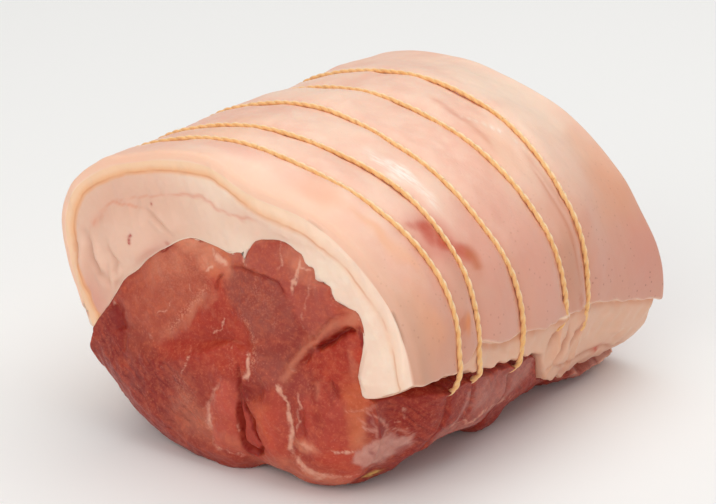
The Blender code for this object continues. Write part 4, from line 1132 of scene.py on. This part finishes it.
# Relief of the cut face, as (x, z): depth in millimetres, half width, line
leanRelief = {
    "creases": [
        (3.6, 0.75, cutLines["pocketLeft"]), (3.2, 0.7, cutLines["pocketRight"]),
        (1.6, 0.8, cutLines["pocketTop"]), (1.6, 2.4, cutLines["pocketFold"]),
        (3.2, 1.0, cutLines["slit"]), (1.4, 1.0, cutLines["slitEnd"]),
        (0.8, 0.7, cutLines["slitAbove"]), (1.5, 0.8, cutLines["byFat"]),
        (1.2, 0.5, cutLines["eyeTopLeft"]), (0.7, 0.5, cutLines["eyeTopRight"]),
        (0.8, 0.7, cutLines["capBorder"]), (1.2, 0.7, cutLines["eyeNotch"]),
        (2.2, 3.4, [(-57.5, 51), (-54.5, 48), (-53, 42)]), (1.2, 1.2, [(-51.4, 43), (-50.8, 34)]),
        (1.2, 1.6, cutLines["lowSeam"]), (0.9, 1.3, cutLines["strapStreak"]),
        (0.8, 1.4, [(-10.3, 13), (-9.5, 8.2), (0.6, 7.5), (9.2, 8.7)]),
        (1.0, 1.0, [(39.4, 45.6), (41.5, 40.8), (42.9, 39)]),
        (1.1, 1.8, [(27.2, 31), (28.2, 24.8), (30.2, 21)]), (0.6, 0.6, cutLines["capSeamLeft"]),
        (0.4, 0.6, cutLines["capSeam"]),
        (1.4, 3.0, [(-14.8, 70.6), (-19.9, 59.5), (-27, 51), (-35, 43)]),
        (1.2, 2.6, [(0.5, 57), (3.5, 50), (3.8, 42)]), (1.0, 3.5, [(49, 50), (49, 46)]),
    ],
    # swellings: height, x, z, half length, half width, lean in degrees
    "swells": [(1.4, -34, 60, 25, 16, 50), (1.6, 11, 58, 18, 13, 80), (1.8, -5, 20, 13, 6.5, 100),
               (1.9, 16, 22, 13, 7, 100), (2.4, 41, 27, 14, 12, 60), (1.3, 43, 50, 10, 8, 60),
               (1.5, 9, 84, 12, 7, 0), (1.0, 27, 79, 5, 4, 0), (1.0, 34, 75, 5, 4, -30),
               (1.0, 42, 71, 5, 4, -30), (1.5, 34, 60, 18, 2.2, 50), (0.9, 22, 45, 9, 2.0, 60)],
}

# Marks low on the sides, as (angle, millimetres along)
sideMarks = {
    "white": [(0.75, 0.9, [(-25, 29), (-27, 47), (-25, 54), (-28, 74), (-31, 86)]),
              (0.4, 0.6, [(-16, 40), (-22, 38), (-28, 36)]), (0.4, 0.5, [(-16, 69), (-22, 71), (-28, 74)]),
              (0.5, 0.8, [(-27, 120), (-29, 140), (-27, 150)]), (0.5, 0.5, [(-14, 12), (-20, 10)]),
              (0.5, 0.5, [(-18, 6), (-24, 12), (-28, 22)]), (0.4, 0.5, [(-12, 22), (-20, 24)])],
    "creaseShadeAndSeams": [(0.6, 1.6, [(-13, 26), (-15, 33)]), (0.6, 1.2, [(-30, 60), (-31, 76)]),
             (0.5, 1.2, [(-26, 100), (-27, 114)]), (0.5, 1.0, [(-17, 79), (-17, 90)])],
    "veil": [(0.5, 5.0, [(-30, 30), (-31, 60)]), (0.45, 9.0, [(-19, 44), (-21, 62), (-21, 84)]),
             (0.6, 1.6, [(-14, 42), (-22, 39), (-27, 36)]), (0.5, 1.4, [(-14, 69), (-22, 66), (-29, 66)]),
             (0.6, 2.0, [(-15, 52), (-22, 52)]), (0.5, 3.0, [(-16, 84), (-24, 86)])],
    # the pale strip under the fat's low end at the back: a veil of fat, made paler still as painted light
    # from below
    "paleHemAndLight": [(0.5, 3.0, [(-31, 112), (-36, 136), (-38, 150)]), (1.0, 6.0, [(-38, 150), (-37, 170)])],
    "yellow": [(0.9, 1.8, [(-43, 11), (-42, 14)]), (0.8, 1.4, [(-39, 29), (-39, 31)])],
}


# Low on the right the photo looks along the side: silvery skin and its net, as (x, z) on the cut
silverPatch = [(50.2, 19.9), (54.2, 24.1), (63.5, 30.2), (73.1, 32.6), (73, 29.4), (67.4, 25.6),
               (60.8, 19.5), (53.9, 16.6), (49.7, 17)]
silverNet = [(0.9, 0.5, [(53.1, 38.3), (56.1, 35.9), (59.7, 35.5), (63.7, 32.8), (60.9, 28.3)]),
             (0.8, 0.5, [(50, 33), (53.7, 30.9), (57.9, 31.3), (58.8, 27.8)]),
             (0.6, 0.4, [(56.1, 35.9), (57.9, 31.3)]), (0.7, 0.4, [(63.7, 32.8), (69, 34), (74, 33)]),
             (0.6, 0.4, [(53.3, 36.5), (57.9, 40.1)])]
silverSpots = [(1.0, 56, 33.6, 2.4, 2.0, 0), (1.0, 60.2, 31.2, 2.0, 2.2, 0), (0.8, 57, 22.5, 1.4, 1, 0),
               (0.8, 69, 27.2, 3.5, 0.8, 30), (0.6, 62.5, 35.5, 3, 1, -20)]


def freeEdge(angle):
    # 1 where no fat covers the edge of a cut
    return ease(angle, *lean["freeFrom"]) * ease(-angle, *lean["freeTo"])


def rollAlong(along):
    # how far the sides stand back from the two cuts, whose bare edges roll over
    front = np.clip(1 - along / lean["rollLength"], 0, 1) ** 2
    back = np.clip(1 - (jointLength - along) / lean["rollLength"], 0, 1) ** 2
    return lean["rollFront"] * front - lean["rollBack"] * back


def leanEnds(along):
    # angles where the fat's inside starts and stops on the lean
    low, _, _, high = fatEnds(along)
    return low - smooth(roll["lobe"], rowAt(along)), high


def leanRadius(angle, along):
    # angle runs from the fat's low right end over the top and on round the underside
    low, high = leanEnds(along)
    top = leanTopRadius(np.where(angle > high + 90, low, np.minimum(angle, high)), along)
    below = pressed(underRadius(np.maximum(angle, high), along), angle, along, lean["grooves"], "lastSeen")
    out = ease(angle, high, high + lean["shelfLeft"]) * ease(low + 360 - angle, 0, lean["shelfRight"])
    return top + (below - top) * out


def leanAngles(along, topCount, underCount):
    # angles of the columns, under the fat and then round the underside
    low, high = (np.asarray(v)[..., None] for v in leanEnds(along))
    top = low + (high - low) * np.linspace(0, 1, topCount, endpoint=False)
    spread = np.linspace(0, 1, underCount)
    spread = spread + lean["endCrowd"] * np.sin(-2 * math.pi * spread)
    under = high + (low + 360 - high) * spread
    return np.concatenate([top, under[..., :-1]], -1)


def freeShare(angle, along):
    # 1 on the bare sides and the underside, 0 under the fat
    low, high = leanEnds(along)
    left, right = lean["spans"]["freeLeft"], lean["spans"]["freeRight"]
    return ease(angle - high, *left) * ease(low + 360 - angle, *right)


def leanMesh():
    shell = Shell()
    along = alongPlaces(*lean["rings"])
    angle = leanAngles(along, lean["topColumns"], lean["underColumns"])
    ring = shell.points(angle, 1 + 0 * angle, along[:, None] + 0 * angle, 0 * angle)
    shell.grid(ring, closed=True)
    for line, place, side in ((ring[0], 0.0, 1.0), (ring[-1], jointLength, -1.0)):
        step = (lean["cutStep"] if side > 0 else lean["backStep"]) / lean["faceRound"]
        count = lean["cutColumns"] if side > 0 else lean["backColumns"]
        low, high = leanEnds(np.array(place))
        keys = angle[0 if side > 0 else -1]
        share = 1 - lean["firstStep"] * step
        # rings of half as many columns each time that the face has shrunk to half
        while share > lean["tipShare"]:
            columns = low + 360 * np.arange(count) / count
            rings = []
            stop = share / 2
            while share > max(stop, lean["tipShare"]):
                rings.append(share)
                share -= step
            rings = np.array(rings)[:, None] + 0 * columns
            cut = shell.points(columns + 0 * rings, rings, place + 0 * rings, side + 0 * rings)
            shell.grid(cut, closed=True)
            shell.bridge(line, keys, cut[0], columns, 360.0)
            line, keys, count = cut[-1], columns, count // 2
        tip = int(shell.points(np.array([0.0]), np.array([0.0]), np.array([place]), np.array([side]))[0])
        shell.faces.extend([[int(a), int(b), tip] for a, b in zip(line, np.roll(line, -1))])
    return shell


def leanRough(shell):
    # the smooth form: sides, rolled edges and domed cut faces
    angle, share, along, face = shell.coordinates()
    radius = leanRadius(angle, along)
    edge = freeEdge(angle % 360)
    roller = lean["rollFront"] * (face >= 0) - lean["rollBack"] * (face < 0)
    rim = np.clip((share - lean["rollStart"]) / (1 - lean["rollStart"]), 0, 1) ** 2
    falling = np.where(face == 0, rollAlong(along), roller * rim) * edge
    swell = -lean["swellFront"] * (face > 0) + lean["swellBack"] * (face < 0)
    dome = swell * (1 - share ** 2) * (lean["underFat"] + (1 - lean["underFat"]) * edge)
    return spot(angle, radius * share, along, falling + dome)


def onFace(places, face):
    # (x, z) of each place on the cut: as the photo sees it in front, straight through at the back
    seenX, seenZ = seenOnCut(places)
    return np.where(face < 0, places[:, 0], seenX), np.where(face < 0, places[:, 2], seenZ)


def leanSurface(shell):
    angle, share, along, face = shell.coordinates()
    places = leanRough(shell)
    swells, spans = lean["waves"], lean["spans"]
    a, b = onFace(places, face)
    warp = mixedWaves(places, swells["cut"])
    cutting = np.zeros(len(share))
    for depth, half, line in leanRelief["creases"]:
        away, t = nearLine(a + warp, b - warp, line)
        fade = 0.35 + 0.65 * ease(t, 0, 0.15) * ease(1 - t, 0, 0.1)
        cutting = np.maximum(cutting, depth * hill(away, half) * fade)
    for height, *oval in leanRelief["swells"]:
        cutting = cutting - height * patches(a, b, [(1.0, *oval)])
    cutting = cutting + lean["tongueDepth"] * within(a, b, pocket, 1.0)
    inFace = (face != 0) * ease(1 - share, *spans["inFace"])
    places[:, 1] += np.sign(face) * inFace * (cutting - mixedWaves(places, swells["lumps"]))
    outward = np.stack([np.cos(np.radians(angle)), 0 * angle, np.sin(np.radians(angle))], 1)
    turned = (angle + 180) % 360 - 180
    bare = (face == 0) * freeShare(angle, along)
    slant = turned * lean["slant"][0] + along * lean["slant"][1] + mixedWaves(places, swells["slant"])
    strands = sum(height * np.sin(slant * 2 * math.pi / spacing + shift)
                  for height, spacing, shift in lean["strands"])
    sides = mixedWaves(places, swells["sides"]) + strands
    places = places + outward * (bare * sides * ease(fromLoop(along), *spans["fromLoop"]))[:, None]
    places[:, 2] = np.maximum(places[:, 2], 0.0)
    return places, bare, turned


def mixTone(tones, share, other):
    # colours of the points drawn towards another tone
    return tones + (np.array(tone(*other)[:3]) - tones) * share[:, None]


def makeLean(material):
    shell = leanMesh()
    places, bare, turned = leanSurface(shell)
    angle, share, along, face = shell.coordinates()
    swells, spans = lean["waves"], lean["spans"]
    a, b = onFace(places, face)
    wander = mixedWaves(places, swells["markX"])
    a, b = a + wander, b + mixedWaves(places, swells["markZ"])
    u, v = turned * markDegree + 2 * wander, along + 2 * wander
    fromCut = np.minimum(along, jointLength - along)
    onCut = np.where(face == 0, 1 - ease(fromCut, *spans["onCut"]), 1.0)
    tones = np.broadcast_to(tone(*lean["cutTone"])[:3], (len(share), 3))
    for muscleTone, soft, outline in muscles.values():
        tones = mixTone(tones, within(a, b, outline, soft), muscleTone)
    tones = mixTone(tones, 1 - onCut, lean["sideTone"])

    def beside(key, fade=0.15):
        onSide = bare + (face < 0) * ease(share, *spans["backRim"])
        return drawn(u, v, rolledOut(sideMarks[key]), fade) * onSide * ease(along, *spans["behindFront"])

    def onCutFace(key, fade=0.15):
        strokes = [(strength, half * lean["spread"], line) for strength, half, line in leanMarks[key]]
        return drawn(a, b, strokes, fade) * onCut

    # where the photo looks along the side, low on the right
    acrossSide = turned * markDegree
    seen = ease(acrossSide, *spans["seenLow"]) * ease(-acrossSide, *spans["seenHigh"])
    seen = (face >= 0) * ease(-along, *spans["seenAlong"]) * seen
    # along and across the fibres: slanting down the low left of the cut, and round the sides
    slant = math.radians(lean["fibreSlant"])
    cosine, sine = math.cos(slant), math.sin(slant)
    ahead, aside = lean["sideFibres"]
    alongFibre = np.where(face == 0, along * ahead - acrossSide * aside, a * cosine + b * sine)
    acrossFibre = np.where(face == 0, along * aside + acrossSide * ahead, b * cosine - a * sine)
    acrossFibre = acrossFibre + mixedWaves(places, swells["fibre"])
    cloudX = a + mixedWaves(places, swells["cloud"])
    values = {
        "meatTone": tones,
        "fibre": np.stack([alongFibre, acrossFibre, 0 * along], 1) * mm,
        "stranded": np.maximum(bare * (1 - onCut), onCut * within(a, b, muscles["lowLeft"][2], 4.0)),
        "white": np.maximum(onCutFace("white"), beside("white")),
        "speckled": onCutFace("speckled"),
        "flapHighlight": onCutFace("flapHighlight", 0.05),
        "orange": onCutFace("orange"),
        "creaseShadeAndSeams": np.maximum(onCutFace("creaseShadeAndSeams", 0.08), beside("creaseShadeAndSeams")),
        "tongue": within(a, b, pocket, 0.6) * onCut,
        "veil": np.maximum(beside("veil", 0.05), seen * within(a, b, silverPatch, 1.2)),
        "net": seen * drawn(a, b, silverNet), "spots": seen * patches(a, b, silverSpots),
        "yellow": beside("yellow", 0.05), "paleHemAndLight": beside("paleHemAndLight", 0.04),
        **{key: patches(cloudX, b, blobs) * onCut * (face >= 0) for key, blobs in cutClouds.items()},
    }
    return makePiece("leanMeat", places, shell.faces, material, "lean", values)


def leanMaterial():
    noise = lean["noise"]
    place, mark, over, finish = newMaterial("lean meat", lean["finish"], lean["tones"])
    cloud, mottle, fine, grain = (place.noise(*noise[key]) for key in ("cloud", "mottle", "fine", "grain"))
    fibre = mark("fibre", "Vector").stretch(lean["fibreStretch"]).noise(*noise["fibre"])
    stranded = mark("stranded")
    base = mark("meatTone", "Color")
    # clouds of colour, then the grain and the strands
    base = over(base, "pink", mark("pink") * (0.6 + 0.6 * mottle))
    base = over(over(base, "ruby"), "amber")
    base = over(base, "wine", mark("wine") * (0.4 + 0.5 * cloud))
    base = over(base, "clouded", cloud.between(0.35, 0.7))
    base = over(base, "mottled", mottle.between(0.42, 0.72))
    base = over(base, "grain", grain.between(0.5, 0.75))
    base = over(base, "lightFibre", stranded * fibre.between(0.5, 0.75))
    base = over(base, "darkFibre", stranded * fibre.between(0.5, 0.28))
    # the flap's edge lightened as a painted highlight
    base = over(over(base, "flapHighlight"), "orange")
    # flecks of fat, silvery skin, seams and creases
    fleck = place.noise(*noise["fleck"]).between(0.60, 0.72)
    fleck = fleck * place.noise(*noise["fleckClouds"]).between(0.42, 0.6)
    speck = place.noise(*noise["speck"]).between(0.42, 0.68) * mark("speckled")
    base = over(base, "speck", speck.most(fleck * 0.4))
    base = over(base, "veil", mark("veil") * (0.4 + 0.6 * fine))
    # the pale strip under the fat at the back, paler still as painted light from below
    base = over(base, "paleHemAndLight", mark("paleHemAndLight") * (0.8 + 0.4 * fine))
    base = over(base, "spots")
    base = over(base, "net", mark("net") * (0.4 + 0.5 * fine))
    white = (mark("white") * 1.05 + (fine - 0.5) * 0.8 + (grain - 0.5) * 0.5).between(0.12, 1.15)
    base = over(base, "white", white)
    # the dark red lines are painted shade in the creases, and seams on the sides
    for key in ("yellow", "tongue", "creaseShadeAndSeams"):
        base = over(base, key)
    roughness = 0.34 + 0.22 * fine + 0.08 * white
    fineBump = fine * 0.6 + grain * 0.4
    return finish(base, roughness, [(fineBump, 0.7, 0.4), (fibre * stranded, 0.5, 0.5), (white, 0.2, 0.4)])


def resample(path, step, closed):
    # a path in even steps, and its length
    whole = np.vstack([path, path[:1]]) if closed else path
    lengths = np.concatenate([[0], np.cumsum(np.linalg.norm(np.diff(whole, axis=0), axis=1))])
    count = max(4, round(lengths[-1] / step))
    at = np.linspace(0, lengths[-1], count, endpoint=not closed)
    return np.stack([np.interp(at, lengths, whole[:, k]) for k in range(3)], 1), lengths[-1]


def frames(path, closed):
    # direction of the path at each point, with two cross directions carried along it
    if closed:
        way = np.roll(path, -1, 0) - np.roll(path, 1, 0)
    else:
        way = np.gradient(path, axis=0)
    way = way / np.linalg.norm(way, axis=1)[:, None]
    side = np.zeros_like(path)
    here = np.cross(way[0], (0.0, 1.0, 0.02))
    for i, w in enumerate(way):
        here = here - w * here.dot(w)
        here = here / np.linalg.norm(here)
        side[i] = here
    return way, side, np.cross(way, side)


class Yarn:
    # tubes gathered into one mesh
    def __init__(self):
        self.places, self.faces, self.marks, self.count = [], [], [], 0

    def tube(self, path, radius, closed, sides, frayed=0.0, middle=None):
        # a tube along a path, whose marks are measured from `middle`, the path of the whole twine
        way, side, up = frames(path, closed)
        n = len(path)
        around = np.arange(sides) * 2 * math.pi / sides
        radius = np.broadcast_to(radius, n)[:, None, None]
        ring = path[:, None] + radius * (np.cos(around)[None, :, None] * side[:, None]
                                         + np.sin(around)[None, :, None] * up[:, None])
        number = self.count + np.arange(n * sides).reshape(n, sides)
        lines = np.vstack([number, number[:1]]) if closed else number
        one, two = lines[:-1], lines[1:]
        quads = np.stack([one, np.roll(one, -1, 1), np.roll(two, -1, 1), two], -1)
        self.faces.extend(quads.reshape(-1, 4).tolist())
        if not closed:
            self.faces.extend([number[0].tolist(), number[-1][::-1].tolist()])
        self.places.append(ring.reshape(-1, 3))
        # how far out of the twine each point lies, towards the joint's middle for painted shade, and
        # towards the lamp over the joint for painted light
        out = (ring - (path if middle is None else middle)[:, None]) / (twine["offset"] + twine["ply"])
        toMiddle = np.array([0, 0, roll["centreZ"]]) - ring * (1, 0, 1)
        toMiddle = toMiddle / np.linalg.norm(toMiddle, axis=2)[:, :, None]
        step = np.linalg.norm(path[1] - path[0]) * mm
        self.marks.append({
            "lengthwise": np.repeat(np.arange(n) * step, sides), "round": np.tile(around, n),
            "frayed": np.full(n * sides, frayed), "outer": np.linalg.norm(out, axis=2).ravel(),
            "inwardShade": (out * toMiddle).sum(2).ravel(), "litSide": (out @ twine["towardLamp"]).ravel()})
        self.count += n * sides

    def twoPly(self, path, closed, seed):
        # two strands laid round each other along a path
        path, length = resample(path, twine["step"], closed)
        _, side, up = frames(path, closed)
        turns = max(1, round(length / twine["pitch"]))
        phase = np.arange(len(path)) / (len(path) - (not closed)) * turns * 2 * math.pi
        for ply in (0, 1):
            uneven = waves(path, 6, seed + ply)
            turn = phase + ply * math.pi + 0.15 * uneven
            offset = twine["offset"] * (np.cos(turn)[:, None] * side + np.sin(turn)[:, None] * up)
            self.tube(path + offset, twine["ply"] * (1 + 0.07 * uneven), closed, twine["sides"], 0.0, path)


def addKnot(yarn, number, route, angle, draw):
    # the knot low on the left: the cut ends wrap the loop and leave it, frayed
    at = int(np.argmin(abs(angle - twine["knotAngle"])))
    turn = math.radians(twine["knotAngle"])
    outward = np.array([math.cos(turn), 0.0, math.sin(turn)])
    way = route[(at + 3) % len(route)] - route[at - 3]
    way = way / np.linalg.norm(way)
    across = np.cross(way, outward)
    spin = np.linspace(0, twine["turns"] * 2 * math.pi, twine["coilPoints"])
    reach = np.linspace(-twine["coilHalf"], twine["coilHalf"], twine["coilPoints"])
    coil = (route[at] + outward * twine["coilLift"] + np.outer(reach, way)
            + twine["coil"] * (np.outer(np.cos(spin), outward) + np.outer(np.sin(spin), across)))
    yarn.twoPly(coil, False, 80 + number)
    wayOut, wayAlong, wayDown = twine["tailWay"]
    for side in (-1, 1):
        start = coil[0] if side < 0 else coil[-1]
        t = np.linspace(0, 1, twine["tailPoints"])[:, None]
        bend = draw.uniform(-twine["tailBend"], twine["tailBend"], 3)
        tip = outward * wayOut + np.array([0.0, side * wayAlong, -wayDown])
        sag = np.array([0, 0, -twine["tailSag"]])
        tail = start + t * tip * twine["tail"] + bend * t * (1 - t) + sag * t ** 2
        yarn.twoPly(tail, False, 90 + number)
        for _ in range(twine["tailFibres"]):
            spread = draw.normal(size=3) * twine["tailSpread"]
            end = tail[-1] + (tail[-1] - tail[-2]) * 1.2 + spread
            strand = np.linspace(0, 1, 4)[:, None] * (end - tail[-1]) + tail[-1] + spread * 0.3
            yarn.tube(strand, np.linspace(*twine["tailFibreThick"], 4), False, 3, 1.0)


def addFibres(yarn, number, route, angle, draw):
    # loose fibres all along the loop, and closer together in its tufts
    way, side, up = frames(route, True)
    tufts = [turn for loop, turn, count in twine["tufts"] if loop == number for _ in range(count)]
    for n in range(twine["fibres"] + len(tufts)):
        i = int(draw.integers(len(route)))
        if n < len(tufts):
            i = int(np.argmin(abs(angle - tufts[n]))) + int(draw.integers(-2, 3))
        turn = draw.uniform(0, 2 * math.pi)
        out = math.cos(turn) * side[i] + math.sin(turn) * up[i]
        length = twine["fibreLength"] * draw.uniform(*twine["fibreLengths"])
        t = np.linspace(0, 1, 6)[:, None]
        slanting = way[i] * draw.choice([-1, 1]) * draw.uniform(*twine["fibreSlants"])
        fibre = (route[i] + out * twine["fibreOut"] + t * length * slanting
                 + out * length * twine["fibreCurl"] * t ** 2
                 + draw.normal(size=3) * twine["fibreSwing"] * t * (1 - t))
        fibre[:, 2] = np.maximum(fibre[:, 2], 0.1)
        yarn.tube(fibre, twine["fibreThick"] * np.linspace(1, 0.5, 6), False, 3, 1.0)


def makeTwine(number, material):
    draw = np.random.default_rng(100 + number)
    yarn = Yarn()
    route = loopRoutes[number - 1]
    angle = np.degrees(np.arctan2(route[:, 2] - roll["centreZ"], route[:, 0])) % 360
    yarn.twoPly(route, True, 60 + 2 * number)
    addKnot(yarn, number, route, angle, draw)
    addFibres(yarn, number, route, angle, draw)
    values = {key: np.concatenate([marks[key] for marks in yarn.marks]) for key in yarn.marks[0]}
    return makePiece(f"twineLoop{number}", np.concatenate(yarn.places), yarn.faces, material,
                     f"twine_{number}", values)


def twineMaterial():
    noise = twine["noise"]
    scaleAlong, scaleRound = twine["strandScale"]
    place, mark, over, finish = newMaterial("twine", twine["finish"], twine["tones"])
    thread = place.add("CombineXYZ", None,
                       {0: mark("lengthwise") * scaleAlong, 1: mark("round") * scaleRound})
    strands = thread.noise(*noise["strands"])
    base = place.noise(*noise["cloud"]).between(0.35, 0.7).mixTones(twine["plain"])
    base = over(base, "strands", strands.between(0.35, 0.7))
    # darker in the valleys between the plies: painted shade
    base = over(base, "outer", mark("outer").between(0.7, 0.15))
    # painted shade on the side facing the joint
    base = over(base, "inwardShade", mark("inwardShade").between(-0.1, 0.8))
    # the twine's side toward the lamp made paler: painted light
    base = over(base, "litSide", mark("litSide").between(0.1, 0.8) * (0.45 + 0.5 * strands))
    base = over(base, "stain", place.noise(*noise["stain"]).between(0.64, 0.72))
    base = over(base, "frayed")
    return finish(base, 0.7 + 0.2 * strands, [(strands, 0.12, 0.8)])


# Floor and lamps, in metres and watts
studio = {
    "floor": 3.0, "floorTone": (244, 245, 245), "floorRoughness": 0.9,
    "aim": (0.0, 0.0, 0.05),
    # name, place, size, watts, tone
    "lamps": [("over", (0.08, 0.30, 1.38), 2.1, 14.6, (255, 253, 250)),
              ("front", (0.10, -1.35, 0.85), 1.7, 9.0, (255, 252, 248)),
              ("side", (1.20, -0.90, 0.25), 1.2, 2.2, (255, 252, 248))],
    "world": (1.0, 0.99, 0.98, 1.0), "worldStrength": 0.40,
}


def makeFloor():
    half = studio["floor"] / 2
    mesh = bpy.data.meshes.new("floor")
    corners = [(-half, -half, 0), (half, -half, 0), (half, half, 0), (-half, half, 0)]
    mesh.from_pydata(corners, [], [(0, 1, 2, 3)])
    paper = bpy.data.materials.new("pale paper")
    paper.use_nodes = True
    shader = paper.node_tree.nodes["Principled BSDF"]
    shader.inputs["Base Color"].default_value = tone(*studio["floorTone"])
    shader.inputs["Roughness"].default_value = studio["floorRoughness"]
    mesh.materials.append(paper)
    floor = bpy.data.objects.new("floor", mesh)
    bpy.context.scene.collection.objects.link(floor)


def lookAlong(ahead):
    # the turn of a lamp that shines along a direction
    back = -ahead / np.linalg.norm(ahead)
    right = np.cross((0.0, 0.0, 1.0), back)
    right = right / np.linalg.norm(right)
    return Matrix(np.stack([right, np.cross(back, right), back], 1).tolist()).to_euler()


def makeLights():
    for name, place, width, watts, colour in studio["lamps"]:
        data = bpy.data.lights.new(name, "AREA")
        data.shape, data.size, data.energy = "DISK", width, watts
        data.color = tone(*colour)[:3]
        lamp = bpy.data.objects.new(name, data)
        lamp.location = place
        lamp.rotation_euler = lookAlong(np.array(studio["aim"]) - np.array(place))
        bpy.context.scene.collection.objects.link(lamp)
    world = bpy.data.worlds.new("studio")
    world.use_nodes = True
    background = world.node_tree.nodes["Background"]
    background.inputs["Color"].default_value = studio["world"]
    background.inputs["Strength"].default_value = studio["worldStrength"]
    bpy.context.scene.world = world


def makeCamera():
    data = bpy.data.cameras.new("photoView")
    data.lens, data.sensor_width = cameraView["lens"], cameraView["sensor"]
    camera = bpy.data.objects.new("photoView", data)
    turn = math.radians(cameraView["turn"])
    right = np.array([math.cos(turn), math.sin(turn), 0.0])
    ahead = np.array(cameraView["ahead"])
    ahead = ahead / np.linalg.norm(ahead)
    axes = np.stack([right, np.cross(right, ahead), -ahead], 1)
    camera.matrix_world = Matrix.Translation(cameraView["place"]) @ Matrix(axes.tolist()).to_4x4()
    bpy.context.scene.collection.objects.link(camera)
    bpy.context.scene.camera = camera


makeCamera()
makeFloor()
makeLights()
print("camera, lights and floor placed")
makeFatCap(fatMaterial())
makeLean(leanMaterial())
undyed = twineMaterial()
for loop in range(1, len(loopPlaces) + 1):
    makeTwine(loop, undyed)
bpy.context.scene.view_settings.view_transform = "Standard"
